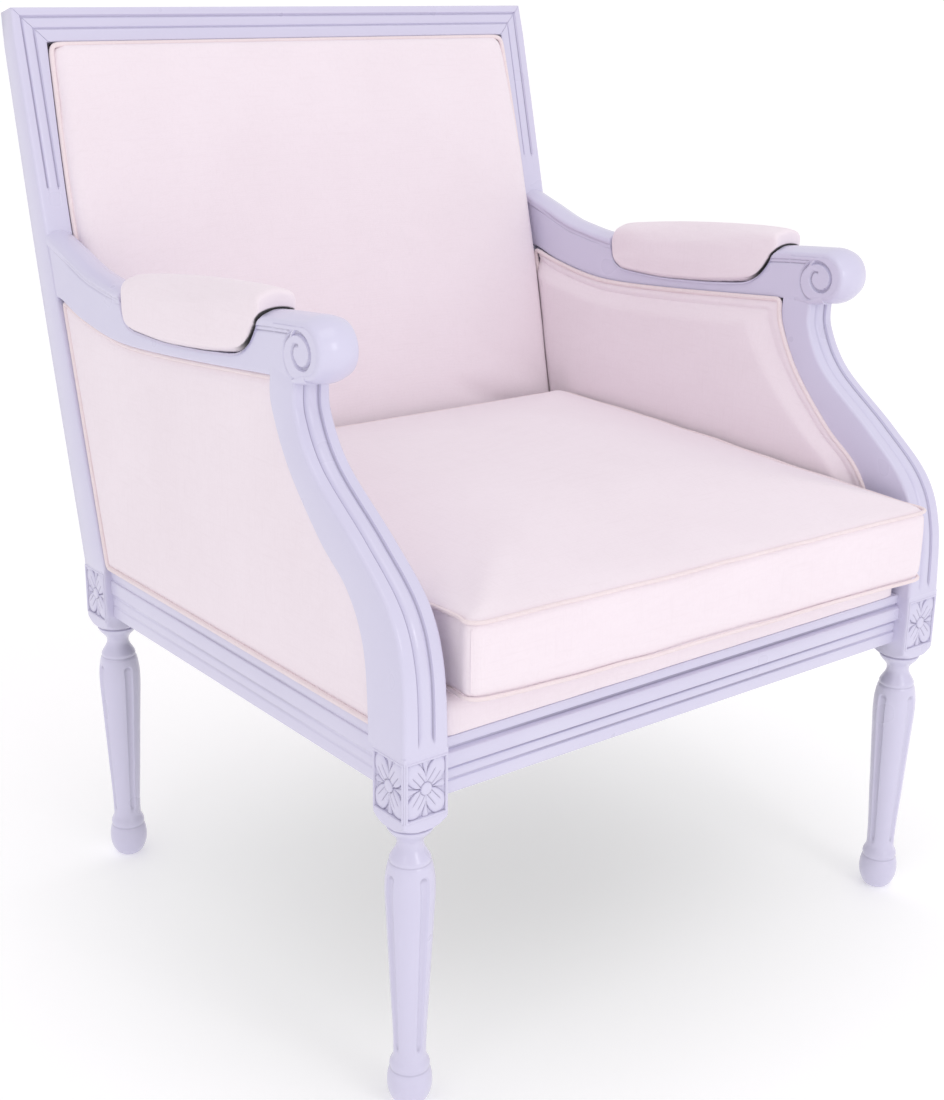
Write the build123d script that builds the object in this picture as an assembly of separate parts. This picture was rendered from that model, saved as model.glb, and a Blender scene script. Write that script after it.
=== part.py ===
from build123d import *
import os
from math import atan2, cos, degrees, hypot, pi, radians, sin, tan

# Upholstered armchair with turned fluted legs, S-shaped arm posts and scrolled arms.
# Millimetres, +Z up, the chair faces -Y, X = 0 is its plane of symmetry,
# and the origin is on the floor under the middle of its bounding box.

# Driving dimensions
half_width = 343.0         # outer faces of the front leg blocks
block = 46.0               # side of the square leg blocks
front_face = -349.5        # front face of the front leg blocks
rear_face = 253.0          # rear face of the back leg blocks
rear_leg_x = 308.0         # axis of the back legs
block_bottom = 287.0
block_top = 348.0          # also the top of the seat rails
rail_bottom = 294.0
back_height = 912.8        # top front edge of the back
back_angle = 13.6          # recline of the back
back_top_depth = 27.3      # thickness of the back frame at its top
frame_face = 36.6          # width of the moulded face round the back
arm_seat = 626.0           # flat joint between arm and arm post
scroll_centre = (-205.0, 657.0)
scroll_radius = 29.0
cushion_front = -370.0
cushion_rear = 190.0
cushion_half = 286.0
cushion_bottom = 386.0
boxing = 68.0              # height of the cushion's side band
cushion_crown = 17.0
fit = 0.2                  # room round tenons, dowels and screws
gap = 0.3                  # room between soft pieces and the wood

slope = tan(radians(back_angle))
back_foot = rear_face - block                     # front face of the back at block_top
back_rise = (back_height - block_top) / cos(radians(back_angle))
back_plane = Plane(
    (0, back_foot, block_top), (1, 0, 0), (0, -cos(radians(back_angle)), sin(radians(back_angle)))
)

os.makedirs("parts", exist_ok=True)
written = []


def save(name, shape):
    """Writes one piece; several separate solids go into one group."""
    shape.label = name
    export_step(shape, f"parts/{name}.step")
    written.append((name, shape))


def mirrored(shape):
    return mirror(shape, Plane.YZ)


def save_pair(name, right):
    save(f"{name}_right", right)
    save(f"{name}_left", mirrored(right))


def clear_of(shape, *others):
    """The main solid of a shape that is left when its neighbours are cut away."""
    for other in others:
        shape = shape - other
    return max(shape.solids(), key=lambda solid: solid.volume)


def stile_y(z, forward=0.0):
    """Y of the back's front face at height z, or of a plane that stands forward of it."""
    return back_foot + (z - block_top) * slope - forward / cos(radians(back_angle))


def side_face(edges):
    """A face in the YZ plane from edges drawn as (y, z)."""
    return Plane.YZ * make_face(edges)


def slab(face, x0, x1):
    """A YZ face made a solid from x0 to x1."""
    return Pos(x0, 0, 0) * extrude(face, x1 - x0, dir=(1, 0, 0))


def block_box(x0, x1, y0, y1, z0, z1):
    return Pos((x0 + x1) / 2, (y0 + y1) / 2, (z0 + z1) / 2) * Box(x1 - x0, y1 - y0, z1 - z0)


def inset_curve(points, distance):
    """Points moved sideways, to the right of the direction of travel."""
    moved = []
    for i, (y, z) in enumerate(points):
        before = points[max(i - 1, 0)]
        after = points[min(i + 1, len(points) - 1)]
        dy, dz = after[0] - before[0], after[1] - before[1]
        length = hypot(dy, dz)
        moved.append((y + distance * dz / length, z - distance * dy / length))
    return moved


back_rear_top = (
    stile_y(back_height) + back_top_depth * cos(radians(back_angle)),
    back_height - back_top_depth * sin(radians(back_angle)),
)

# Side view curves, (y, z), shared by the wood and the upholstery
arm_over = [(252.8, 683.0), (222.0, 672.0), (190.0, 665.0), (131.0, 659.0), (40.0, 664.0),
            (-90.0, 675.0)]
arm_under = [(215.0, 612.5), (165.0, 605.5), (115.0, 604.5), (30.0, 610.0), (-60.0, 618.0),
             (-145.0, arm_seat)]
post_back = [(-145.0, arm_seat), (-148.0, 600.0), (-174.0, 553.0), (-222.0, 502.0), (-265.0, 468.0),
             (-289.0, 422.0), (-297.0, block_top)]
post_front = [(-184.0, arm_seat), (-186.0, 598.0), (-212.0, 558.0), (-275.0, 511.0), (-325.0, 467.0),
              (-345.0, 418.0), (front_face, block_top)]
arm_over_start = (stile_y(697.0), 697.0)
arm_under_start = (stile_y(627.0), 627.0)

# Turned legs: radii against height
foot_profile = [
    Line((0, 0), (12.0, 0)),
    ThreePointArc((12.0, 0), (19.0, 24.0), (12.5, 41.0)),
    ThreePointArc((12.5, 41.0), (14.6, 45.0), (12.4, 49.0)),
    Line((12.4, 49.0), (20.4, 206.0)),
    ThreePointArc((20.4, 206.0), (20.7, 221.0), (17.2, 233.0)),
    Line((17.2, 233.0), (18.2, 235.0)),
    ThreePointArc((18.2, 235.0), (16.0, 246.0), (11.0, 252.0)),
    ThreePointArc((11.0, 252.0), (10.6, 257.0), (13.0, 262.0)),
    ThreePointArc((13.0, 262.0), (16.6, 266.0), (15.0, 270.0)),
    ThreePointArc((15.0, 270.0), (27.5, 278.0), (34.0, 294.0)),
    Line((34.0, 294.0), (34.0, block_top)),
    Line((34.0, block_top), (0, block_top)),
    Line((0, block_top), (0, 0)),
]
shoulder_foot = 262.0      # the turning is round below this height
flute_low = (13.9, 66.0)   # radius and height of the flute's ends
flute_high = (19.6, 196.0)
flute_radii = (3.4, 5.6)
flute_depth = 2.2


def flute_cutter():
    """A round-ended, tapering flute on the -Y side of a leg."""
    low = Vector(0, -(flute_low[0] + flute_radii[0] - flute_depth), flute_low[1])
    high = Vector(0, -(flute_high[0] + flute_radii[1] - flute_depth), flute_high[1])
    run = high - low
    cone = Solid.make_cone(flute_radii[0], flute_radii[1], run.length, Plane(low, z_dir=run))
    ends = Pos(*low) * Sphere(flute_radii[0]) + Pos(*high) * Sphere(flute_radii[1])
    return cone + ends


def turned_leg():
    """Ball foot, fluted taper, neck and a square block with turned shoulders, axis on Z."""
    turning = revolve(Plane.XZ * make_face(foot_profile), Axis.Z)
    square = Pos(0, 0, (shoulder_foot + block_top) / 2) * Box(block, block, block_top - shoulder_foot)
    leg = turning & (square + Pos(0, 0, shoulder_foot / 2) * Cylinder(40, shoulder_foot))
    flute = flute_cutter()
    for turn in range(4):
        leg -= Rot(0, 0, 90 * turn) * flute
    return leg


# Carved panel on a block: a sunk field with a four-petalled flower and a boss
panel_width = 35.0
panel_height = 44.0
panel_centre = 313.0
panel_depth = 2.0
petal_length = 21.0
petal_width = 11.0
boss_radius = 4.5


def petal():
    """A pointed leaf from the centre towards one corner, as a prism."""
    tip = (petal_length, 0)
    side = petal_width / 2
    leaf = make_face([
        ThreePointArc((0, 0), (petal_length / 2, side), tip),
        ThreePointArc(tip, (petal_length / 2, -side), (0, 0)),
    ])
    return extrude(leaf, panel_depth)


def carved(leg, plane):
    """Sinks the panel into the face at plane and leaves the flower standing."""
    field = extrude(Rectangle(panel_width, panel_height), panel_depth)
    flower = Pos(0, 0, panel_depth / 2) * Cylinder(boss_radius, panel_depth)
    lean = degrees(atan2(panel_height, panel_width))
    for angle in (lean, 180 - lean, 180 + lean, -lean):
        flower += Rot(0, 0, angle) * petal()
    return leg - plane * (field - flower)


def face_plane(point, outward):
    """A plane on a block face whose Z runs into the wood."""
    return Plane(point, z_dir=Vector(*outward) * -1, x_dir=Vector(outward[1], -outward[0], 0))


# Joints of the wooden frame
tenon_thick = 10.0
tenon_high = 36.0
tenon_long = 13.0
rail_thick = 24.0
rail_middle = (rail_bottom + block_top) / 2
front_rail_face = front_face + 11.5
side_rail_x = 314.5
rear_rail_y = 233.0
dowel_radius = 5.0
dowel_long = 40.0
inner_block = half_width - block
front_leg_axis = (half_width - block / 2, front_face + block / 2)
rear_leg_y = rear_face - block / 2
front_block_rear = front_face + block


def tenon(centre, axis, room=0.0):
    """A tenon that lies along X or Y, or its mortise when room is given."""
    long, thick = 2 * tenon_long + 2 * room, tenon_thick + 2 * room
    sizes = (long, thick) if axis == "x" else (thick, long)
    return Pos(centre[0], centre[1], rail_middle) * Box(*sizes, tenon_high + 2 * room)


front_tenon = (inner_block, front_rail_face + rail_thick / 2)
side_front_tenon = (side_rail_x, front_block_rear)
side_rear_tenon = (side_rail_x, back_foot)
rear_tenon = (rear_leg_x - block / 2, rear_rail_y)


def dowel(centre, direction, room=0.0):
    """A dowel centred on a joint, or its hole when room is given."""
    run = Vector(*direction).normalized()
    length = dowel_long + 2 * room
    start = Vector(*centre) - run * (length / 2)
    return Solid.make_cylinder(dowel_radius + room, length, Plane(start, z_dir=run))


back_up = Vector(0, sin(radians(back_angle)), cos(radians(back_angle)))
back_out = Vector(0, -cos(radians(back_angle)), sin(radians(back_angle)))
corner_local = (314.8, back_rise - frame_face / 2)
arm_joint = (319.0, stile_y(661.0), 661.0)
crest_joint = back_plane.from_local_coords(Vector(corner_local[0], corner_local[1], -back_top_depth / 2))
dowel_places = [
    (arm_joint, back_out),
    ((319.0, -165.0, arm_seat), (0, 0, 1)),
    ((320.0, -326.0, block_top), (0, 0, 1)),
    (tuple(crest_joint), (1, -back_up.Y, -back_up.Z)),
]
dowel_holes = [dowel(place, way, fit) for place, way in dowel_places]


def front_leg():
    leg = Pos(*front_leg_axis, 0) * turned_leg()
    leg = carved(leg, face_plane((front_leg_axis[0], front_face, panel_centre), (0, -1, 0)))
    leg = carved(leg, face_plane((half_width, front_leg_axis[1], panel_centre), (1, 0, 0)))
    leg -= tenon(front_tenon, "x", fit)
    leg -= tenon(side_front_tenon, "y", fit)
    return leg - dowel_holes[2]


def back_post():
    """Back leg, block and reclined stile in one piece, mitred at the top for the crest rail."""
    side = side_face(Polyline(
        (back_foot, block_top), (stile_y(back_height), back_height), back_rear_top, (rear_face, block_top),
        close=True,
    ))
    outer = rear_leg_x + block / 2
    front = Plane.XZ * make_face(Polyline(
        (298, block_top), (304.0, 690), (296.7, back_height), (333.3, back_height), (334.0, 690),
        (outer, block_top), close=True,
    ))
    stile = slab(side, 280, 345) & Pos(0, 500, 0) * extrude(front, 500, dir=(0, -1, 0))
    stile -= crest_blank()
    post = stile + Pos(rear_leg_x, rear_leg_y, 0) * turned_leg()
    post = carved(post, face_plane((outer, rear_leg_y, panel_centre), (1, 0, 0)))
    post -= back_channels()
    post -= tenon(side_rear_tenon, "y", fit)
    post -= tenon(rear_tenon, "x", fit)
    post -= low_rail_tenon(fit)
    return post - dowel_holes[0] - dowel_holes[3]


crest_half = 333.3


def crest_blank():
    """The crest rail's mitred board."""
    low_half, low = crest_half - frame_face, back_rise - frame_face
    board = make_face(Polyline(
        (-crest_half, back_rise), (crest_half, back_rise), (low_half, low), (-low_half, low), close=True
    ))
    return back_plane * extrude(board, -back_top_depth)


# Two channels run round the face of the back frame, mitred at the corners
channel_offsets = (10.0, 23.0)
channel_width = 3.0
channel_depth = 2.5
channel_stop = 400.0       # the channels end above the arms


def back_channels():
    rings = None
    for offset in channel_offsets:
        outer_edge = crest_half - offset
        inner_edge = outer_edge - channel_width
        high = back_rise - offset
        ring = make_face(Polyline(
            (-outer_edge, channel_stop), (-outer_edge, high), (outer_edge, high),
            (outer_edge, channel_stop), (inner_edge, channel_stop), (inner_edge, high - channel_width),
            (-inner_edge, high - channel_width), (-inner_edge, channel_stop), close=True,
        ))
        cut = back_plane * extrude(ring, -channel_depth)
        rings = cut if rings is None else rings + cut
    return rings


def crest_rail():
    rail = crest_blank() - back_channels()
    return rail - dowel_holes[3] - mirrored(dowel_holes[3])


# Lower rail of the back, between the stiles just above the seat
low_rail = (84.0, 128.0)   # from and to, along the back from block_top
low_rail_depth = 22.0
low_rail_middle = -20.5    # behind the face of the back, clear of the inside pad


def low_rail_tenon(room=0.0):
    half_high = (low_rail[1] - low_rail[0]) / 2 - 5 + room
    centre = Vector(300.0, sum(low_rail) / 2, low_rail_middle)
    return back_plane * Pos(*centre) * Box(2 * tenon_long + 2 * room, 2 * half_high, tenon_thick + 2 * room)


def back_lower_rail():
    high = low_rail[1] - low_rail[0]
    rail = back_plane * Pos(0, sum(low_rail) / 2, low_rail_middle) * Box(620, high, low_rail_depth)
    rail = clear_of(rail, back_post_right, mirrored(back_post_right))
    return rail + (low_rail_tenon() + mirrored(low_rail_tenon()))


# Moulded profile of the front and side rails, (depth from the face, height)
rail_profile_steps = [
    (4.5, rail_bottom), (4.0, 306.5), (5.5, 308.0), (6.5, 316.0), (1.0, 321.5), (0.0, 323.0), (0.0, 334.0),
    (3.5, 336.5), (3.5, block_top),
]


def moulded_rail(length):
    """A rail along X from 0, its moulded face towards -Y at y = 0."""
    face = rail_profile_steps
    section = Polyline(*face, (rail_thick, block_top), (rail_thick, rail_bottom), close=True)
    return extrude(Plane.YZ * make_face(section), length, dir=(1, 0, 0))


def front_rail():
    rail = Pos(-inner_block, front_rail_face, 0) * moulded_rail(2 * inner_block)
    return rail + tenon(front_tenon, "x") + mirrored(tenon(front_tenon, "x"))


def side_rail():
    length = back_foot - front_block_rear
    outer = side_rail_x + rail_thick / 2
    rail = Pos(outer, front_block_rear, 0) * Rot(0, 0, 90) * moulded_rail(length)
    return rail + tenon(side_front_tenon, "y") + tenon(side_rear_tenon, "y")


def rear_rail():
    half = rear_leg_x - block / 2
    rail = block_box(-half, half, rear_rail_y - rail_thick / 2, rear_rail_y + rail_thick / 2,
                     rail_bottom, block_top)
    return rail + tenon(rear_tenon, "x") + mirrored(tenon(rear_tenon, "x"))


# Arms and arm posts
arm_plan = [(304.6, 320), (334.0, 320), (338.5, -250), (297.5, -250)]
arm_round = 6.0            # rounding along the arm's top edges and round the scroll
scroll_faces = (293.0, 339.5)
scroll_middle = (-198.0, 655.5)
scroll_reach = (30.5, 25.5)   # half length and half height of the scroll's side faces
# Volute groove, (y, z): up behind the scroll, over, down its front and round into a hook
volute_line = [(-192.0, 630.0), (-179.0, 632.0), (-170.0, 640.0), (-167.5, 651.0), (-172.0, 663.0),
               (-186.0, 670.5), (-202.0, 667.0), (-209.5, 656.0), (-207.0, 646.0), (-198.5, 641.0),
               (-188.0, 643.0), (-182.0, 650.0), (-187.5, 660.0)]
groove = 2.6               # width of carved grooves
post_bead = 12.0           # raised bead down the middle of the post


def arm():
    """Arm with a dipped top, ending in a rolled scroll with a carved volute on each side."""
    y, z = scroll_centre
    top = (y, z + scroll_radius)
    low = (y, z - scroll_radius)
    side = side_face([
        Spline(arm_over_start, *arm_over, top, tangents=[(-0.8, -0.6), (-1, 0)]),
        ThreePointArc(top, (y - scroll_radius, z), low),
        Line(low, (post_front[0][0], arm_seat)),
        Line((post_front[0][0], arm_seat), (post_back[0][0], arm_seat)),
        Spline(*reversed(arm_under), arm_under_start),
        Line(arm_under_start, arm_over_start),
    ])
    plan = extrude(make_face(Polyline(*arm_plan, close=True)), 900)
    body = slab(side, 290, 345) & plan
    over = [edge for edge in body.edges() if edge.length > 60 and (edge @ 0.5).Z > 640]
    body = fillet([edge for edge in over if abs((edge % 0.5).X) < 0.2], arm_round)
    oval = Plane.YZ * Pos(*scroll_middle) * Ellipse(*scroll_reach)
    body += slab(oval, *scroll_faces)
    outer, inner = inset_curve(volute_line, groove / 2), inset_curve(volute_line, -groove / 2)
    volute = side_face([
        Spline(*outer), Line(outer[-1], inner[-1]), Spline(*reversed(inner)), Line(inner[0], outer[0])
    ])
    body -= slab(volute, scroll_faces[1] - groove, 350) + slab(volute, 280, scroll_faces[0] + groove)
    return body - dowel_holes[0] - dowel_holes[1]


def arm_post():
    """S-shaped post with a bead between two grooves down its front."""
    side = side_face([
        Spline(*post_back, tangents=[(0, -1), (0, -1)]),
        Line(post_back[-1], post_front[-1]),
        Spline(*reversed(post_front), tangents=[(0, 1), (0, 1)]),
        Line(post_front[0], post_back[0]),
    ])
    front = Plane.XZ * make_face(Polyline(
        (inner_block, block_top), (half_width, block_top), (338.0, arm_seat), (299.0, arm_seat), close=True
    ))
    body = slab(side, 290, 350) & extrude(front, 500, dir=(0, -1, 0))
    deep = [(y + groove, z) for y, z in post_front]
    proud = [(y - 20, z) for y, z in post_front]
    strip = side_face([
        Spline(*deep, tangents=[(0, -1), (0, -1)]), Line(deep[-1], proud[-1]),
        Spline(*reversed(proud), tangents=[(0, 1), (0, 1)]), Line(proud[0], deep[0]),
    ])
    middle = 319.3
    for side_of_bead in (-1, 1):
        at = middle + side_of_bead * (post_bead + groove) / 2
        body -= slab(strip, at - groove / 2, at + groove / 2)
    return body - dowel_holes[1] - dowel_holes[2]


# Corner blocks and their screws
corner_leg = 62.0
corner_high = 40.0
screw_long = 38.0
screw_radius = 2.2
screw_head = 4.4
head_high = 3.0


def corner_shape(xs, ys, rail_x, rail_y, post_x, post_y):
    """A notched triangle that fills a corner between two rails and a leg block; xs, ys point inwards."""
    outline = make_face(Polyline(
        (rail_x + xs * corner_leg, rail_y), (post_x, rail_y), (post_x, post_y), (rail_x, post_y),
        (rail_x, rail_y + ys * corner_leg), close=True,
    ))
    return Pos(0, 0, rail_middle - corner_high / 2) * extrude(outline, corner_high)


def screw(tip, way, room=0.0):
    """A round-headed screw from its tip, with a head sunk for the hole."""
    run = Vector(*way)
    base = Vector(*tip) - run * room
    shank = Solid.make_cylinder(screw_radius + room, screw_long + room, Plane(base, z_dir=run))
    head_at = Vector(*tip) + run * screw_long
    deep = 60.0 if room else head_high
    return shank + Solid.make_cylinder(screw_head + room, deep, Plane(head_at, z_dir=run))


screw_bite = 15.0          # depth of the screw in the rail
side_inner = side_rail_x - rail_thick / 2
front_inner = front_rail_face + rail_thick
rear_inner = rear_rail_y - rail_thick / 2
corners = {
    "front_right": (side_inner, front_inner, inner_block - gap, front_block_rear + gap, 1),
    "rear_right": (side_inner, rear_inner, rear_leg_x - block / 2 - gap, back_foot - gap, -1),
}
corner_screws = []
for rail_x, rail_y, post_x, post_y, inward in corners.values():
    corner_screws.append(((rail_x - 42, rail_y - inward * screw_bite, rail_middle), (0, inward, 0)))
    corner_screws.append(((rail_x + screw_bite, rail_y + inward * 38, rail_middle), (-1, 0, 0)))
screw_holes = [screw(tip, way, fit) for tip, way in corner_screws]


def less_screws(shape):
    for hole in screw_holes:
        shape -= hole
        shape -= mirrored(hole)
    return shape


# Upholstery
piping = 2.7               # radius of the welts
back_pad_foot = 45.0
back_pad_top = back_rise - frame_face - 2 * piping - 0.4
pad_edge = 5.0             # how far the pad's edge stands before the frame


def crowned_section(half, low, edge, crown):
    """A pad's cross-section in X and depth: flat behind, rounded shoulders and a crowned front."""
    shoulder = 12.0
    return make_face([
        Line((-half, low), (half, low)),
        Line((half, low), (half, edge - shoulder)),
        ThreePointArc((half, edge - shoulder), (half - 3.6, edge - 3.6), (half - shoulder, edge)),
        ThreePointArc((half - shoulder, edge), (0, edge + crown), (-half + shoulder, edge)),
        ThreePointArc((-half + shoulder, edge), (-half + 3.6, edge - 3.6), (-half, edge - shoulder)),
        Line((-half, edge - shoulder), (-half, low)),
    ])


# Share of the pad's height, how far its edge stands out, and its crown there
back_pad_sections = ((0, 6, 4), (0.12, 15, 8), (0.4, 16, 11), (0.75, 12, 9), (0.96, 8, 4), (1, 4, 2))


def back_pad():
    """Inside back: crowned both ways, fullest low down, narrowing towards the crest."""
    sections = []
    low, high = back_pad_foot, back_pad_top
    for share, edge, crown in back_pad_sections:
        along = low + (high - low) * share
        half = 298.0 - 7.6 * share - 2 * piping
        at = back_plane * Plane((0, along, 0), x_dir=(1, 0, 0), z_dir=(0, -1, 0))
        section = crowned_section(half, -9.0, edge + pad_edge, crown)
        sections.append(at * section)
    return loft(sections)


def swept_cord(path):
    """A cord of the welt's radius along an open run of lines and arcs."""
    start = path.edges()[0]
    ring = Plane(start @ 0, z_dir=start % 0) * Circle(piping)
    return sweep(ring, path)


def back_welt():
    half_top = crest_half - frame_face - piping - gap
    half_low = 298.0 - piping - gap
    high = back_rise - frame_face - piping - gap
    points = [(-half_low, back_pad_foot), (-half_top, high), (half_top, high), (half_low, back_pad_foot)]
    return back_plane * Pos(0, 0, 2.0) * swept_cord(FilletPolyline(*points, radius=9))


outside_sink = 2.0         # the outside back panel lies this far below the rear of the stiles
outside_foot = 3.0
rear_run = Vector(0, back_rear_top[0] - rear_face, back_rear_top[1] - block_top)
rear_plane = Plane((0, rear_face, block_top), (-1, 0, 0), (0, rear_run.Z, -rear_run.Y))


def outside_outline(inset):
    high = rear_run.length - frame_face - inset
    top_half = crest_half - frame_face - inset
    low_half = 297.0 - inset
    low = outside_foot + inset
    return Polyline((-low_half, low), (-top_half, high), (top_half, high), (low_half, low), close=True)


def outside_back():
    panel = make_face(outside_outline(2 * piping + 2 * gap))
    return rear_plane * Pos(0, 0, -outside_sink) * extrude(panel, -4.5)


def outside_back_welt():
    ring = make_face(outside_outline(gap)) - make_face(outside_outline(2 * piping))
    return rear_plane * Pos(0, 0, -outside_sink + 1.0) * extrude(ring, -2 * piping)


# Side upholstery fills the opening under each arm
panel_foot = block_top + gap
inner_foot = block_top + 4.0


def side_opening(inset, foot, rear_forward=0.0):
    """The opening between arm, arm post, stile and seat rail, drawn inset from the wood."""
    over = inset_curve(list(reversed(arm_under)), inset)
    front = inset_curve(list(reversed(post_back)), inset)
    low = foot + inset - gap
    forward = rear_forward + inset
    rear_top = (stile_y(over[-1][1] + 10, forward), over[-1][1] + 10)
    rear_low = (stile_y(low, forward), low)
    front_top = (over[0][0] - inset, over[0][1])
    front = [(front[0][0], low)] + front[1:-1]
    return [
        Spline(*front, front_top),
        Spline(front_top, *over[1:], rear_top),
        Line(rear_top, rear_low),
        Line(rear_low, front[0]),
    ]


def outer_panel():
    face = side_face(side_opening(2 * piping + 2 * gap, panel_foot))
    return clear_of(slab(face, 322.0, 328.0), arm_post_right)


def outer_welt():
    ring = side_face(side_opening(gap, panel_foot)) - side_face(side_opening(2 * piping, panel_foot))
    return clear_of(slab(ring, 324.0, 324.0 + 2 * piping), arm_post_right)


def inner_pad():
    """Inside arm pad: a border and a fuller field stepped out of it."""
    border = slab(side_face(side_opening(2 * piping + 2 * gap, inner_foot, 6.0)), 296.0, 306.0)
    field = slab(side_face(side_opening(17.0, inner_foot, 6.0)), 289.5, 297.0)
    return clear_of(border + field, back_pad_solid, arm_post_right)


def inner_welt():
    outer = side_face(side_opening(gap, inner_foot, 6.0))
    ring = outer - side_face(side_opening(2 * piping, inner_foot, 6.0))
    return clear_of(slab(ring, 298.0, 298.0 + 2 * piping), back_pad_solid, arm_post_right)


def tacking_rail():
    rail = block_box(306.3, 321.7, -320, 260, inner_foot, inner_foot + 28)
    return clear_of(rail, arm_post_right, back_post_right)


pad_front = -128.0
pad_rear = 127.0


def arm_pad():
    """A stuffed pad over the arm, rounded over its top and ends."""
    sections = []
    # y, height of the lower edge, height of the crown, half width
    stations = (
        (pad_front, 660.0, 690.0, 20.0), (pad_front + 8, 645.0, 697.0, 23.0), (-70.0, 637.0, 694.0, 23.5),
        (10.0, 629.0, 686.0, 22.5), (90.0, 624.0, 677.0, 20.5), (pad_rear - 8, 629.0, 672.0, 19.0),
        (pad_rear, 640.0, 666.0, 16.5),
    )
    for y, low, crown, half in stations:
        middle = 318.4
        shoulder = crown - 0.62 * half
        section = make_face([
            Line((middle - half, low), (middle + half, low)),
            Line((middle + half, low), (middle + half, shoulder)),
            ThreePointArc((middle + half, shoulder), (middle, crown), (middle - half, shoulder)),
            Line((middle - half, shoulder), (middle - half, low)),
        ])
        sections.append(Plane((0, y, 0), x_dir=(1, 0, 0), z_dir=(0, -1, 0)) * section)
    return loft(sections, ruled=True) - arm_right


# Seat: webbing on the rails, a sprung deck on it, and a dust cover below
strap_wide = 50.0
strap_thick = 1.5
strap_count = 5
deck_foot = block_top + 2 * strap_thick + gap
deck_front = front_rail_face + 6.0
deck_rear = 190.0
deck_half = 288.5
deck_top = cushion_bottom - 0.4
dust_thick = 1.0


def seat_webbing():
    straps = []
    reach_y = (front_rail_face + 6, rear_rail_y - 4)
    reach_x = side_rail_x - 9
    for i in range(strap_count):
        share = (i + 0.5) / strap_count
        x = -250 + 500 * share
        y = -290 + 480 * share
        straps.append(block_box(x - strap_wide / 2, x + strap_wide / 2, *reach_y,
                                block_top, block_top + strap_thick))
        straps.append(block_box(-reach_x, reach_x, y - strap_wide / 2, y + strap_wide / 2,
                                block_top + strap_thick, block_top + 2 * strap_thick))
    return Compound(children=straps)


def seat_deck():
    """Stuffed deck with a rolled front edge."""
    roll = 14.0
    over = (deck_front + 12, deck_top)
    section = make_face([
        Line((deck_front, deck_foot), (deck_front - 2, deck_top - roll)),
        ThreePointArc((deck_front - 2, deck_top - roll), (deck_front + 2, deck_top - 4), over),
        Line(over, (deck_rear, deck_top)),
        Line((deck_rear, deck_top), (deck_rear, deck_foot)),
        Line((deck_rear, deck_foot), (deck_front, deck_foot)),
    ])
    return extrude(Plane.YZ * section, 2 * deck_half, dir=(1, 0, 0)).move(Pos(-deck_half, 0, 0))


def dust_cover():
    return block_box(-side_rail_x, side_rail_x, front_rail_face + 12, rear_rail_y,
                     rail_bottom - dust_thick, rail_bottom) - legs_union


def back_webbing():
    straps = []
    top = back_rise - frame_face - 3
    for i in range(4):
        x = -210 + 140 * i
        upright = Box(strap_wide, top - low_rail[1] - 2, strap_thick)
        straps.append(Pos(x, (low_rail[1] + top) / 2, -11.0) * upright)
    for i in range(4):
        along = 200 + 95 * i
        straps.append(Pos(0, along, -11.0 - strap_thick - 0.2) * Box(580, strap_wide, strap_thick))
    return back_plane * Compound(children=straps)


# Loose box cushion with a welt round its top and bottom edges
draw_in = 4.0              # the sides pull in this far between the corners
cushion_corner = 22.0
cushion_top = cushion_bottom + boxing


def cushion_edges(inset):
    """Plan of the cushion: four slightly hollow sides and round corners."""
    x1 = cushion_half - inset
    y0, y1 = cushion_front + inset, cushion_rear - inset
    r = cushion_corner - inset
    middle = (y0 + y1) / 2
    k = r * (1 - cos(pi / 4))
    return [
        ThreePointArc((-x1 + r, y0), (0, y0 + draw_in), (x1 - r, y0)),
        ThreePointArc((x1 - r, y0), (x1 - k, y0 + k), (x1, y0 + r)),
        ThreePointArc((x1, y0 + r), (x1 - draw_in, middle), (x1, y1 - r)),
        ThreePointArc((x1, y1 - r), (x1 - k, y1 - k), (x1 - r, y1)),
        ThreePointArc((x1 - r, y1), (0, y1 - draw_in), (-x1 + r, y1)),
        ThreePointArc((-x1 + r, y1), (-x1 + k, y1 - k), (-x1, y1 - r)),
        ThreePointArc((-x1, y1 - r), (-x1 + draw_in, middle), (-x1, y0 + r)),
        ThreePointArc((-x1, y0 + r), (-x1 + k, y0 + k), (-x1 + r, y0)),
    ]


foam_wall = 16.0
foam_foot = cushion_bottom + 8.0
foam_top = cushion_top - 6.0


def foam_box(room=0.0):
    inset = foam_wall - room
    return block_box(-cushion_half + inset, cushion_half - inset, cushion_front + inset,
                     cushion_rear - inset, foam_foot - room, foam_top + room)


def cushion_cover():
    """Crowned cover round a foam core, with its sides drawn in between the corners."""
    foot = cushion_bottom + 0.3
    y0, y1 = cushion_front, cushion_rear
    sections = []
    for x, share in ((-290, 0), (-225, 0.62), (-110, 0.95), (0, 1), (110, 0.95), (225, 0.62), (290, 0)):
        crown = 1.0 + cushion_crown * share
        section = make_face([
            Line((y0, foot), (y1, foot)),
            Line((y1, foot), (y1, cushion_top)),
            ThreePointArc((y1, cushion_top), ((y0 + y1) / 2, cushion_top + crown), (y0, cushion_top)),
            Line((y0, cushion_top), (y0, foot)),
        ])
        sections.append(Plane((x, 0, 0), x_dir=(0, 1, 0), z_dir=(1, 0, 0)) * section)
    plan = extrude(make_face(cushion_edges(2 * piping + 0.2)), cushion_top + 100)
    return (loft(sections) & plan) - foam_box(0.5)


def cushion_welt(z):
    """A welt round the cushion, in two lengths that meet at opposite corners."""
    edges = [Pos(0, 0, z) * edge for edge in cushion_edges(piping)]
    half = len(edges) // 2
    return Compound(children=[swept_cord(Wire(edges[:half])), swept_cord(Wire(edges[half:]))])


zip_half = 190.0
zip_high = 22.0
zip_thick = 1.6


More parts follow.
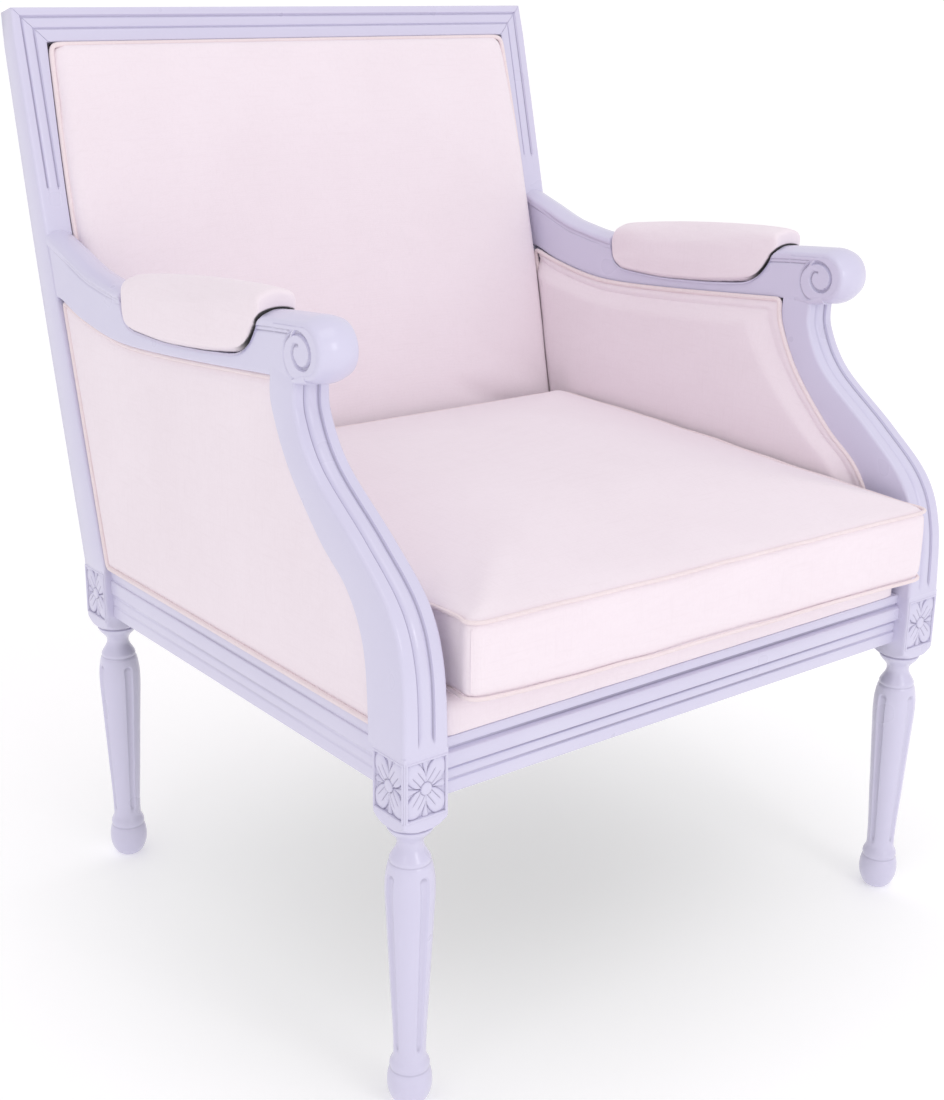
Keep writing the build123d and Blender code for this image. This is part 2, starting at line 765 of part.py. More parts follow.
def cushion_zip():
    """Zip tape and slider in the middle of the rear boxing."""
    rear = cushion_rear - 2 * piping + 0.2
    middle = cushion_bottom + boxing / 2
    face = rear + zip_thick
    tape = block_box(-zip_half, zip_half, rear, face, middle - zip_high / 2, middle + zip_high / 2)
    slider = block_box(-zip_half + 6, -zip_half + 18, face, face + zip_thick, middle - 4, middle + 4)
    return tape + slider


# Wood
front_leg_right = front_leg()
back_post_right = back_post()
arm_right = arm()
arm_post_right = arm_post()
legs_union = front_leg_right + mirrored(front_leg_right)
legs_union = legs_union + back_post_right + mirrored(back_post_right)
save_pair("front_leg", front_leg_right)
save_pair("back_post", back_post_right)
save_pair("arm", arm_right)
save_pair("arm_post", arm_post_right)
save("crest_rail", crest_rail())
save("back_lower_rail", back_lower_rail())
save("front_seat_rail", less_screws(front_rail()))
save_pair("side_seat_rail", less_screws(side_rail()))
save("rear_seat_rail", less_screws(rear_rail()))
save_pair("tacking_rail", tacking_rail())
for corner, (rail_x, rail_y, post_x, post_y, inward) in corners.items():
    wedge = corner_shape(-1, inward, rail_x, rail_y, post_x, post_y)
    for hole in screw_holes:
        wedge -= hole
    save(f"corner_block_{corner}", wedge)
    save(f"corner_block_{corner.replace('right', 'left')}", mirrored(wedge))
screws = [screw(tip, way) for tip, way in corner_screws]
save("corner_screws", Compound(children=screws + [mirrored(one) for one in screws]))
dowels = [dowel(place, way) for place, way in dowel_places]
save("frame_dowels", Compound(children=dowels + [mirrored(one) for one in dowels]))

# Upholstery
back_pad_solid = back_pad()
save("inside_back_pad", back_pad_solid)
save("inside_back_piping", back_welt())
save("outside_back_panel", outside_back())
save("outside_back_piping", outside_back_welt())
save("back_webbing", back_webbing())
save_pair("outer_side_panel", outer_panel())
save_pair("outer_side_piping", outer_welt())
save_pair("inner_side_pad", inner_pad())
save_pair("inner_side_piping", inner_welt())
save_pair("arm_pad", arm_pad())
save("seat_webbing", seat_webbing())
save("seat_deck", seat_deck())
save("dust_cover", dust_cover())

# Loose cushion
save("cushion_cover", cushion_cover())
save("cushion_foam", foam_box())
save("cushion_piping_top", cushion_welt(cushion_top - piping))
save("cushion_piping_bottom", cushion_welt(cushion_bottom + piping))
save("cushion_zip", cushion_zip())

box = Compound(children=[shape for _, shape in written]).bounding_box()
print("pieces", len(written), "box", box.min, box.max)
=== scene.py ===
from math import asin, atan2, cos, exp, hypot, pi, radians, sin, sqrt, tan

import bmesh
import bpy
from mathutils import Matrix, Vector, noise


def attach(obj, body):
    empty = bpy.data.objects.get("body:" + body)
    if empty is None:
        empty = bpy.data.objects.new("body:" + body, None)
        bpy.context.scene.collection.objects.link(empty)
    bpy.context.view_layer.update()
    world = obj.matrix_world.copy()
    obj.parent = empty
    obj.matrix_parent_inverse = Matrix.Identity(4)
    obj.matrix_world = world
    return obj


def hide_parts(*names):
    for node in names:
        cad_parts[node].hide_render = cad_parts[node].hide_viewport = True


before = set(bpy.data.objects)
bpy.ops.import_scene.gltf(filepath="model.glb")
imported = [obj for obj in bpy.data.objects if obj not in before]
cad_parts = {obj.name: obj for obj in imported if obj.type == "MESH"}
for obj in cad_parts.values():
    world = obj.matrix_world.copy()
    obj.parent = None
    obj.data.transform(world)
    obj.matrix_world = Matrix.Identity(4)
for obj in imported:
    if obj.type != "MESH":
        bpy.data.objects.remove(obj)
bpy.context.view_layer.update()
scene = bpy.context.scene
mm = 0.001                 # all the sizes below are in millimetres
print("frame loaded,", len(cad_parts), "nodes")


# Small tools for the hand

def deselectAll():
    if bpy.context.object and bpy.context.object.mode != "OBJECT":
        bpy.ops.object.mode_set(mode="OBJECT")
    bpy.ops.object.select_all(action="DESELECT")


def pick(*pieces):
    deselectAll()
    for piece in pieces:
        piece.select_set(True)
    bpy.context.view_layer.objects.active = pieces[0]


def at(x, y, z):
    return Vector((x * mm, y * mm, z * mm))


def clamp(value, low=0.0, high=1.0):
    return max(low, min(high, value))


def ease(value):
    share = clamp(value)
    return share * share * (3 - 2 * share)


def ramp(value, start, run):
    # eases from 0 at the start to 1 a run later; a negative run goes the other way
    return ease((value - start) / run)


def steps(start, end, size):
    count = max(1, round(abs(end - start) / size))
    return [start + (end - start) * i / count for i in range(count + 1)]


def through(points):
    # a smooth height over ordered points that never overshoots them
    xs = [p[0] for p in points]
    ys = [p[1] for p in points]
    rise = [(ys[i + 1] - ys[i]) / (xs[i + 1] - xs[i]) for i in range(len(xs) - 1)]
    lean = [rise[0]] + [0.0] * (len(xs) - 2) + [rise[-1]]
    for i in range(1, len(xs) - 1):
        if rise[i - 1] * rise[i] > 0:
            lean[i] = 2 * rise[i - 1] * rise[i] / (rise[i - 1] + rise[i])

    def value(x):
        x = clamp(x, xs[0], xs[-1])
        i = 0
        while i < len(xs) - 2 and x > xs[i + 1]:
            i += 1
        span = xs[i + 1] - xs[i]
        t = (x - xs[i]) / span
        return (ys[i] * (1 + 2 * t) * (1 - t) ** 2 + ys[i + 1] * t * t * (3 - 2 * t)
                + span * (lean[i] * t * (1 - t) ** 2 - lean[i + 1] * t * t * (1 - t)))
    return value


def runAlong(points, share):
    # a point on the smooth line through a few points, share from 0 to 1
    last = len(points) - 1
    place = clamp(share) * last
    i = min(int(place), last - 1)
    t = place - i
    a, b = points[max(i - 1, 0)], points[i]
    c, d = points[i + 1], points[min(i + 2, last)]
    found = []
    for k in range(len(b)):
        found.append(0.5 * (2 * b[k] + (c[k] - a[k]) * t + (2 * a[k] - 5 * b[k] + 4 * c[k] - d[k]) * t * t
                            + (3 * b[k] - a[k] - 3 * c[k] + d[k]) * t ** 3))
    return tuple(found)


def layRing(piece, ring):
    shape = bmesh.from_edit_mesh(piece.data)
    shape.faces.ensure_lookup_table()
    i = len(shape.faces) - 1
    while not shape.faces[i].select:
        i -= 1
    for vert, place in zip(shape.faces[i].verts, ring):
        vert.co = place
    bmesh.update_edit_mesh(piece.data, loop_triangles=False, destructive=False)


def loftRings(name, rings, angle=35):
    # a filled circle is extruded ring by ring, and each new ring is laid on its own outline
    deselectAll()
    bpy.ops.mesh.primitive_circle_add(vertices=len(rings[0]), radius=0.01, fill_type="NGON")
    piece = bpy.context.object
    piece.name = name
    bpy.ops.object.mode_set(mode="EDIT")
    bpy.ops.mesh.select_mode(type="FACE")
    bpy.ops.mesh.select_all(action="SELECT")
    layRing(piece, rings[0])
    for ring in rings[1:]:
        bpy.ops.mesh.extrude_region_move()
        layRing(piece, ring)
    return closeUp(piece, angle)


def closeUp(piece, angle=35):
    # normals outwards, soft where the surface bends less than the angle
    pick(piece)
    bpy.ops.object.mode_set(mode="EDIT")
    bpy.ops.mesh.select_all(action="SELECT")
    bpy.ops.mesh.normals_make_consistent(inside=False)
    bpy.ops.object.mode_set(mode="OBJECT")
    bpy.ops.object.shade_smooth_by_angle(angle=radians(angle))
    return piece


def drawGrid(name, columns, rows, place, angle=35):
    # a flat grid whose points are laid by place(u, v), with u and v from 0 to 1
    deselectAll()
    bpy.ops.mesh.primitive_grid_add(x_subdivisions=columns, y_subdivisions=rows, size=1)
    piece = bpy.context.object
    piece.name = name
    for vert in piece.data.vertices:
        vert.co = place(vert.co.x + 0.5, vert.co.y + 0.5)
    bpy.ops.object.shade_smooth_by_angle(angle=radians(angle))
    return piece


def drawBlock(name, size, middle=(0, 0, 0)):
    deselectAll()
    bpy.ops.mesh.primitive_cube_add(size=1)
    piece = bpy.context.object
    piece.name = name
    piece.data.transform(Matrix.Translation(at(*middle)) @ Matrix.Diagonal((*at(*size), 1)))
    return piece


def applyModifier(piece, kind, **settings):
    pick(piece)
    modifier = piece.modifiers.new(kind.lower(), kind)
    for key, value in settings.items():
        setattr(modifier, key, value)
    bpy.ops.object.modifier_apply(modifier=modifier.name)
    return piece


def thicken(piece, thick, offset=-1):
    # a wall of this thickness in millimetres, inwards unless the offset says otherwise
    applyModifier(piece, "SOLIDIFY", thickness=thick * mm, offset=offset)
    return closeUp(piece, 40)


def deleteFaces(piece, unwanted):
    # unwanted(x, y, z) is asked for the middle of every face
    for polygon in piece.data.polygons:
        polygon.select = unwanted(*(c / mm for c in polygon.center))
    pick(piece)
    bpy.ops.object.mode_set(mode="EDIT")
    bpy.ops.mesh.select_mode(type="FACE")
    bpy.ops.mesh.delete(type="FACE")
    bpy.ops.object.mode_set(mode="OBJECT")


def copyPiece(piece, name, turn):
    # a copy with its own mesh; turn is a matrix laid into the mesh
    pick(piece)
    bpy.ops.object.duplicate(linked=False)
    twin = bpy.context.object
    twin.name = name
    twin.data.name = name
    twin.data.transform(turn)
    if turn.determinant() < 0:
        twin.data.flip_normals()
    return twin


otherSide = Matrix.Scale(-1, 4, Vector((1, 0, 0)))


def joinPieces(name, parts):
    pick(*parts)
    bpy.ops.object.join()
    piece = bpy.context.object
    piece.name = name
    piece.data.name = name
    return piece


def drawCord(name, points, radius, closed=True, sides=12):
    # a welt: a smooth closed or open line with a round bevel, made a mesh
    line = bpy.data.curves.new(name, "CURVE")
    line.dimensions = "3D"
    line.bevel_depth = radius * mm
    line.bevel_resolution = sides // 4
    line.use_fill_caps = True
    run = line.splines.new("POLY")
    run.points.add(len(points) - 1)
    for target, place in zip(run.points, points):
        target.co = (*place, 1)
    run.use_cyclic_u = closed
    piece = bpy.data.objects.new(name, line)
    scene.collection.objects.link(piece)
    pick(piece)
    bpy.ops.object.convert(target="MESH")
    piece = bpy.context.object
    bpy.ops.object.shade_smooth()
    return piece


def settle(piece, material, nodes, body="frame"):
    # material, body and the CAD nodes that a finished piece stands for
    piece.data.materials.clear()
    piece.data.materials.append(material)
    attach(piece, body)
    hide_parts(*nodes)
    return piece


def settlePair(piece, stem, material, node):
    # a finished right-hand piece and its mirrored twin
    twin = copyPiece(piece, stem + "Left", otherSide)
    for one, side in ((piece, "right"), (twin, "left")):
        settle(one, material, [f"{node}_{side}"])


# Camera at the photograph's angle

cameraSet = {"eye": (-1.08326, -1.37169, 0.95998), "azimuth": -38.285, "elevation": 18.860, "roll": 0.851,
             "lens": 56.28}


def makeCamera():
    turn, lift, roll = (radians(cameraSet[key]) for key in ("azimuth", "elevation", "roll"))
    back = Vector((sin(turn) * cos(lift), -cos(turn) * cos(lift), sin(lift)))
    right = Vector((cos(turn), sin(turn), 0))
    up = back.cross(right)
    right, up = cos(roll) * right + sin(roll) * up, cos(roll) * up - sin(roll) * right
    deselectAll()
    bpy.ops.object.camera_add(location=cameraSet["eye"])
    camera = bpy.context.object
    pose = Matrix((right, up, back)).transposed().to_4x4()
    pose.translation = Vector(cameraSet["eye"])
    camera.matrix_world = pose
    camera.data.lens = cameraSet["lens"]
    camera.data.sensor_width = 36
    camera.data.clip_end = 1000
    camera.data.dof.use_dof = False
    scene.camera = camera


makeCamera()
print("camera set")


# Studio: a pale floor, a bright sky all round and soft boxes beside and over the camera

studio = {
    "floor": (0.80, 0.80, 0.80),
    "floorGlow": 0.30,
    "floorSize": 800,
    "sky": (1.0, 0.985, 1.0),
    "skyStrength": 0.88,
    "boxes": (                     # place, aim, width, height, watts
        ((-2.6, -1.2, 2.0), (0.0, 0.0, 0.45), 0.9, 1.2, 2.5),
        ((0.1, -3.1, 1.6), (0.0, 0.0, 0.5), 0.9, 1.2, 11),
        ((0.0, -1.2, 2.7), (0.0, 0.0, 0.5), 1.2, 1.2, 4.5),
    ),
}


def makeStudio():
    deselectAll()
    bpy.ops.mesh.primitive_plane_add(size=studio["floorSize"])
    floor = bpy.context.object
    floor.name = "floor"
    paint = bpy.data.materials.new("paleFloor")
    paint.use_nodes = True
    tree = paint.node_tree
    shader = tree.nodes["Principled BSDF"]
    shader.inputs["Roughness"].default_value = 0.6
    shader.inputs["Emission Color"].default_value = (1, 1, 1, 1)
    shader.inputs["Emission Strength"].default_value = studio["floorGlow"]
    coords = tree.nodes.new("ShaderNodeTexCoord")
    cloud = tree.nodes.new("ShaderNodeTexNoise")
    cloud.inputs["Scale"].default_value = 1.5
    tint = tree.nodes.new("ShaderNodeMix")
    tint.data_type = "RGBA"
    tint.inputs["A"].default_value = (*studio["floor"], 1)
    tint.inputs["B"].default_value = (*[c * 1.02 for c in studio["floor"]], 1)
    tree.links.new(coords.outputs["Object"], cloud.inputs["Vector"])
    tree.links.new(cloud.outputs["Fac"], tint.inputs["Factor"])
    tree.links.new(tint.outputs["Result"], shader.inputs["Base Color"])
    floor.data.materials.append(paint)
    world = bpy.data.worlds.new("sky")
    world.use_nodes = True
    glow = world.node_tree.nodes["Background"]
    glow.inputs["Color"].default_value = (*studio["sky"], 1)
    glow.inputs["Strength"].default_value = studio["skyStrength"]
    scene.world = world
    for i, (place, aim, width, height, watts) in enumerate(studio["boxes"]):
        deselectAll()
        bpy.ops.object.light_add(type="AREA", location=place)
        light = bpy.context.object
        light.name = f"softBox{i + 1}"
        light.data.shape = "RECTANGLE"
        light.data.size = width
        light.data.size_y = height
        light.data.energy = watts
        light.rotation_euler = (Vector(aim) - Vector(place)).to_track_quat("-Z", "Y").to_euler()
    scene.view_settings.view_transform = "Standard"
    scene.view_settings.look = "None"


makeStudio()
print("studio lit")


# Shared finishes, as node groups

def startGroup(name, inputs, outputs):
    group = bpy.data.node_groups.new(name, "ShaderNodeTree")
    for label, kind, value in inputs:
        socket = group.interface.new_socket(label, in_out="INPUT", socket_type=kind)
        socket.default_value = value
    for label, kind in outputs:
        group.interface.new_socket(label, in_out="OUTPUT", socket_type=kind)
    start = group.nodes.new("NodeGroupInput")
    end = group.nodes.new("NodeGroupOutput")
    return group, start, end


def addMath(tree, operation, first, second):
    node = tree.nodes.new("ShaderNodeMath")
    node.operation = operation
    for i, value in enumerate((first, second)):
        if isinstance(value, (int, float)):
            node.inputs[i].default_value = value
        else:
            tree.links.new(value, node.inputs[i])
    return node.outputs[0]


def addMix(tree, factor, first, second):
    node = tree.nodes.new("ShaderNodeMix")
    node.data_type = "RGBA"
    for key, value in (("Factor", factor), ("A", first), ("B", second)):
        if isinstance(value, (int, float)):
            node.inputs[key].default_value = value
        elif isinstance(value, tuple):
            node.inputs[key].default_value = (*value, 1)
        else:
            tree.links.new(value, node.inputs[key])
    return node.outputs["Result"]


def addRange(tree, value, low, high, newLow=0.0, newHigh=1.0):
    node = tree.nodes.new("ShaderNodeMapRange")
    tree.links.new(value, node.inputs["Value"])
    for key, number in (("From Min", low), ("From Max", high), ("To Min", newLow), ("To Max", newHigh)):
        node.inputs[key].default_value = number
    return node.outputs["Result"]


def addNoise(tree, scale, stretch=None, detail=3.0):
    coords = tree.nodes.new("ShaderNodeTexCoord")
    source = coords.outputs["Object"]
    if stretch is not None:
        mapping = tree.nodes.new("ShaderNodeMapping")
        mapping.inputs["Scale"].default_value = stretch
        tree.links.new(source, mapping.inputs["Vector"])
        source = mapping.outputs["Vector"]
    cloud = tree.nodes.new("ShaderNodeTexNoise")
    cloud.inputs["Scale"].default_value = scale
    cloud.inputs["Detail"].default_value = detail
    tree.links.new(source, cloud.inputs["Vector"])
    return cloud.outputs["Fac"]


def makePaintGroup():
    # brushed paint: cloudy colour, painted shade in the grooves, edges worn thin and lightened with painted
    # highlight
    group, start, end = startGroup("brushedPaint", [
        ("Paint", "NodeSocketColor", (0.6, 0.6, 0.7, 1)),
        ("Cloud", "NodeSocketColor", (0.5, 0.5, 0.6, 1)),
        # colour of the painted shade in the hollows
        ("GrooveShade", "NodeSocketColor", (0.3, 0.3, 0.4, 1)),
        # lighter colour of the edges: paint worn thin and painted highlight together
        ("RubbedAndHighlight", "NodeSocketColor", (0.8, 0.8, 0.85, 1)),
        ("WearAndHighlight", "NodeSocketFloat", 0.5),
        ("Gloss", "NodeSocketFloat", 0.3),
    ], [("Color", "NodeSocketColor"), ("Roughness", "NodeSocketFloat"), ("Height", "NodeSocketFloat")])
    cloud = addNoise(group, 7.0)
    brush = addNoise(group, 38.0, None, 0.0)
    shape = group.nodes.new("ShaderNodeNewGeometry")
    edge = addRange(group, shape.outputs["Pointiness"], 0.52, 0.58)
    # painted shade: hollows, read from pointiness, darken towards the groove shade colour
    groove = addRange(group, shape.outputs["Pointiness"], 0.494, 0.462, 0.0, 0.7)
    tinted = addMix(group, addRange(group, cloud, 0.3, 0.75, 0.0, 0.25), start.outputs["Paint"],
                    start.outputs["Cloud"])
    # convex edges lighten, partly as paint worn thin and partly as a painted highlight
    rubAndHighlight = addMath(group, "MULTIPLY", addMath(group, "MULTIPLY", edge, start.outputs["WearAndHighlight"]),
                      addRange(group, cloud, 0.35, 0.6))
    rubbedAndLit = addMix(group, rubAndHighlight, tinted, start.outputs["RubbedAndHighlight"])
    group.links.new(addMix(group, groove, rubbedAndLit, start.outputs["GrooveShade"]), end.inputs["Color"])
    rough = addMath(group, "ADD", start.outputs["Gloss"], addRange(group, brush, 0.2, 0.8, 0.0, 0.10))
    group.links.new(rough, end.inputs["Roughness"])
    group.links.new(brush, end.inputs["Height"])
    return group


def makeWeaveGroup():
    # plain weave on object axes: uneven threads cross on every face, with slubs and cloudy dye
    group, start, end = startGroup("plainWeave", [
        ("Thread", "NodeSocketColor", (0.8, 0.75, 0.75, 1)),
        ("Shade", "NodeSocketColor", (0.6, 0.55, 0.55, 1)),
        # dark colour of painted shade, laid where a piece marks a shadowed gap
        ("GapShade", "NodeSocketColor", (0.03, 0.028, 0.03, 1)),
        ("Pitch", "NodeSocketFloat", 900.0),
        ("Slub", "NodeSocketFloat", 0.5),
    ], [("Color", "NodeSocketColor"), ("Roughness", "NodeSocketFloat"), ("Height", "NodeSocketFloat")])
    coords = group.nodes.new("ShaderNodeTexCoord")
    split = group.nodes.new("ShaderNodeSeparateXYZ")
    group.links.new(coords.outputs["Object"], split.inputs[0])
    waver = addMath(group, "MULTIPLY", addNoise(group, 130.0, None, 1.0), 9.0)
    pitch = addMath(group, "MULTIPLY", start.outputs["Pitch"], 2 * pi)
    threads = None
    for axis in ("X", "Y", "Z"):
        turn = addMath(group, "MULTIPLY", split.outputs[axis], pitch)
        wave = addMath(group, "SINE", addMath(group, "ADD", turn, waver), 0)
        threads = wave if threads is None else addMath(group, "ADD", threads, wave)
    runs = None
    for stretch in ((30, 380, 380), (380, 30, 380), (380, 380, 30)):
        run = addRange(group, addNoise(group, 1.0, stretch, 2.0), 0.52, 0.78)
        runs = run if runs is None else addMath(group, "MAXIMUM", runs, run)
    cloud = addRange(group, addNoise(group, 9.0), 0.3, 0.75, 0.0, 0.22)
    slub = addMath(group, "MULTIPLY", runs, start.outputs["Slub"])
    weave = addRange(group, threads, -2.0, 2.0, 0.0, 0.14)
    mask = addMath(group, "ADD", addMath(group, "ADD", weave, cloud), addMath(group, "MULTIPLY", slub, 0.5))
    cloth = addMix(group, mask, start.outputs["Thread"], start.outputs["Shade"])
    gapShadeMark = group.nodes.new("ShaderNodeAttribute")           # a piece's own mark for painted shade, a dark patch where a gap lies in shadow
    gapShadeMark.attribute_name = "gap_shade"
    group.links.new(addMix(group, gapShadeMark.outputs["Fac"], cloth, start.outputs["GapShade"]), end.inputs["Color"])
    group.links.new(addRange(group, mask, 0.0, 1.0, 0.84, 0.98), end.inputs["Roughness"])
    fine, coarse = addMath(group, "MULTIPLY", threads, 0.25), addMath(group, "MULTIPLY", slub, 1.2)
    group.links.new(addMath(group, "ADD", fine, coarse), end.inputs["Height"])
    return group


def makeGrainGroup():
    # straight wood grain along one axis of the piece
    group, start, end = startGroup("straightGrain", [
        ("Light", "NodeSocketColor", (0.7, 0.5, 0.33, 1)),
        ("Dark", "NodeSocketColor", (0.45, 0.3, 0.18, 1)),
    ], [("Color", "NodeSocketColor"), ("Roughness", "NodeSocketFloat"), ("Height", "NodeSocketFloat")])
    grain = addNoise(group, 1.0, (14, 90, 260), 5.0)
    fleck = addNoise(group, 1.0, (60, 500, 900), 2.0)
    mask = addMath(group, "ADD", addRange(group, grain, 0.35, 0.7, 0.0, 0.8),
                   addRange(group, fleck, 0.6, 0.75, 0.0, 0.3))
    group.links.new(addMix(group, mask, start.outputs["Light"], start.outputs["Dark"]), end.inputs["Color"])
    group.links.new(addRange(group, mask, 0.0, 1.0, 0.5, 0.68), end.inputs["Roughness"])
    group.links.new(grain, end.inputs["Height"])
    return group


paintGroup = makePaintGroup()
weaveGroup = makeWeaveGroup()
grainGroup = makeGrainGroup()


def makeFinish(name, group, values, bump=(0.1, 0.001), fixed=()):
    # a material from a group; fixed are plain numbers on the shader's own sockets
    material = bpy.data.materials.new(name)
    material.use_nodes = True
    tree = material.node_tree
    shader = tree.nodes["Principled BSDF"]
    look = tree.nodes.new("ShaderNodeGroup")
    look.node_tree = group
    for key, value in values.items():
        look.inputs[key].default_value = (*value, 1) if isinstance(value, tuple) else value
    for key, value in fixed:
        shader.inputs[key].default_value = value
    tree.links.new(look.outputs["Color"], shader.inputs["Base Color"])
    tree.links.new(look.outputs["Roughness"], shader.inputs["Roughness"])
    dents = tree.nodes.new("ShaderNodeBump")
    dents.inputs["Strength"].default_value = bump[0]
    dents.inputs["Distance"].default_value = bump[1]
    tree.links.new(look.outputs["Height"], dents.inputs["Height"])
    tree.links.new(dents.outputs["Normal"], shader.inputs["Normal"])
    return material


paintedWood = makeFinish("paintedWood", paintGroup, {
    "Paint": (0.65, 0.625, 0.79), "Cloud": (0.565, 0.54, 0.705), "GrooveShade": (0.33, 0.305, 0.43),
    "RubbedAndHighlight": (0.72, 0.70, 0.84), "WearAndHighlight": 0.5, "Gloss": 0.27,
}, (0.02, 0.0006), (("Coat Weight", 0.4), ("Coat Roughness", 0.1)))
linen = makeFinish("linen", weaveGroup, {
    "Thread": (0.888, 0.798, 0.856), "Shade": (0.79, 0.69, 0.74), "Pitch": 1500.0, "Slub": 0.4,
}, (0.14, 0.0005), (("Sheen Weight", 0.2), ("Sheen Roughness", 0.5)))
linenPiping = makeFinish("linenPiping", weaveGroup, {
    "Thread": (0.88, 0.765, 0.79), "Shade": (0.74, 0.61, 0.62), "Pitch": 1500.0, "Slub": 0.5,
}, (0.2, 0.0005), (("Sheen Weight", 0.2), ("Sheen Roughness", 0.5)))
bareWood = makeFinish("bareWood", grainGroup, {
    "Light": (0.66, 0.49, 0.31), "Dark": (0.50, 0.34, 0.20),
}, (0.12, 0.0006))
juteWebbing = makeFinish("juteWebbing", weaveGroup, {
    "Thread": (0.47, 0.35, 0.21), "Shade": (0.28, 0.19, 0.10), "Pitch": 260.0, "Slub": 0.8,
}, (0.5, 0.001))
dustCloth = makeFinish("dustCloth", weaveGroup, {
    "Thread": (0.035, 0.034, 0.036), "Shade": (0.018, 0.018, 0.02), "Pitch": 500.0, "Slub": 0.3,
}, (0.2, 0.0006))
foamCore = makeFinish("foamCore", weaveGroup, {
    "Thread": (0.88, 0.82, 0.66), "Shade": (0.74, 0.66, 0.48), "Pitch": 330.0, "Slub": 0.2,
}, (0.4, 0.001))
zipTape = makeFinish("zipTape", weaveGroup, {
    "Thread": (0.82, 0.74, 0.72), "Shade": (0.60, 0.52, 0.50), "Pitch": 640.0, "Slub": 0.1,
}, (0.4, 0.0008))
screwSteel = makeFinish("screwSteel", paintGroup, {
    "Paint": (0.55, 0.55, 0.56), "Cloud": (0.48, 0.48, 0.50), "GrooveShade": (0.30, 0.30, 0.31),
    "RubbedAndHighlight": (0.75, 0.75, 0.76), "WearAndHighlight": 0.8, "Gloss": 0.32,
}, (0.06, 0.0004), (("Metallic", 1.0),))
print("finishes mixed")


# Turned legs with carved blocks

turnedLeg = {
    "profile": [               # height, radius
        (0, 9.5), (0.8, 11.4), (2.5, 13.6), (5.5, 15.9), (10, 18.0), (15, 19.5), (21, 20.2), (27, 19.9),
        (32, 19.0), (34.4, 18.2), (35.6, 17.4), (36.8, 17.5), (39, 18.0), (41.5, 17.7), (44, 16.7),
        (46.5, 15.5), (49, 14.8), (53, 14.6), (120, 17.5), (190, 21.0), (206, 21.8), (215, 22.0), (223, 21.7),
        (230, 20.9), (236, 19.8), (239.2, 19.0), (240.4, 18.1), (241.2, 17.9), (242, 18.1), (243.4, 18.1),
        (246, 17.0), (249, 15.2), (252, 13.4), (255, 12.1), (258, 11.5), (261, 11.8), (264, 13.2),
        (267, 15.8), (270, 18.5), (272.4, 20.0), (274.6, 20.7), (275.8, 19.5), (276.8, 20.6), (278, 24.2),
        (281, 28.2), (285, 32.2), (288, 34.8), (290, 36), (348, 36),
    ],
    "half": 23.0,              # half the side of the square block
    "squareness": 26.0,
    "squareFrom": 262.0,
    "rows": ((0, 53, 1.0), (55, 222, 2.8), (223.5, 300, 0.95), (302, 348, 2.2)),   # from, to, step
    "sides": 144,
    "flutes": 4,
    "fluteEnds": (54.0, 233.0),
    "fluteRadii": (3.6, 6.0),
    "fluteDepths": (1.8, 2.9),
    "front": (320.0, -326.5),
    "rear": (308.0, 230.0),
}
carvedPanel = {
    "half": (21.4, 27.4),
    "pocket": (19.4, 25.4, 5.0),           # half width, half height and depth of the hole behind the carving
    "centre": 316.0,
    "rim": (2.3, 0.9),                     # width, height
    "field": -2.2,
    "petal": (16.2, 13.6, 8.9, 2.3),       # middle from the boss, half length, half width, rise
    "sepal": ((6.0, 19.0, 3.6), (9.0, 25.0, 3.2), 1.3),   # from, to, half width at the sides and ends; rise
    "boss": (5.6, 1.1),
}
turnedRadius = through(turnedLeg["profile"])


def fluteSize(z):
    # radius of the round cutter and depth of its cut
    low, high = turnedLeg["fluteEnds"]
    share = clamp((z - low) / (high - low))
    sizes = turnedLeg["fluteRadii"], turnedLeg["fluteDepths"]
    return [foot + (head - foot) * share for foot, head in sizes]


def columnAngle(i, z):
    # the columns of points round a leg keep to the edges of the flutes
    each = turnedLeg["sides"] // turnedLeg["flutes"]
    turn = 2 * pi / turnedLeg["flutes"]
    k = (i + each // 2) // each
    j = i - k * each
    ball, deep = fluteSize(z)
    inside = each // 6
    edge = turn / 6
    if z < turnedLeg["squareFrom"]:
        edge = asin(min(0.5, sqrt(ball ** 2 - (ball - deep) ** 2) / turnedRadius(clamp(z, 50, 235))))
    if abs(j) <= inside:
        return k * turn + edge * j / inside
    out = edge + (turn / 2 - edge) * (abs(j) - inside) / (each / 2 - inside)
    return k * turn + (out if j > 0 else -out)


def fluteCut(z, around, radius):
    low, high = turnedLeg["fluteEnds"]
    ball, deep = fluteSize(z)
    beyond = max(low + ball - z, z - high + ball, 0)
    turn = 2 * pi / turnedLeg["flutes"]
    off = radius * sin(abs((around + turn / 2) % turn - turn / 2))
    inside = ball * ball - off * off - beyond * beyond
    return max(0.0, sqrt(max(inside, 0.0)) - (ball - deep))


def legPoint(z, around, pockets):
    radius = turnedRadius(z)
    if z < turnedLeg["squareFrom"]:
        return radius - fluteCut(z, around, radius)
    power = turnedLeg["squareness"]
    square = turnedLeg["half"] / (abs(cos(around)) ** power + abs(sin(around)) ** power) ** (1 / power)
    blend = 1.2                # softens the arris between the turning and the flats
    gap = clamp(0.5 + 0.5 * (square - radius) / blend)
    radius = square * (1 - gap) + radius * gap - blend * gap * (1 - gap)
    wide, high, deep = carvedPanel["pocket"]
    for face in pockets:
        aside = (around - face + pi) % (2 * pi) - pi
        if abs(aside) < pi / 4:
            sideways = turnedLeg["half"] * tan(aside)
            if abs(sideways) < wide and abs(z - carvedPanel["centre"]) < high:
                radius = min(radius, (turnedLeg["half"] - deep) / cos(aside))
    return radius


def makeLeg(name, axis, pockets):
    rings = []
    for z in [z for row in turnedLeg["rows"] for z in steps(*row)]:
        ring = []
        for i in range(turnedLeg["sides"]):
            around = columnAngle(i, z)
            radius = legPoint(z, around, pockets)
            ring.append(at(axis[0] + radius * cos(around), axis[1] + radius * sin(around), z))
        rings.append(ring)
    return loftRings(name, rings, 40)


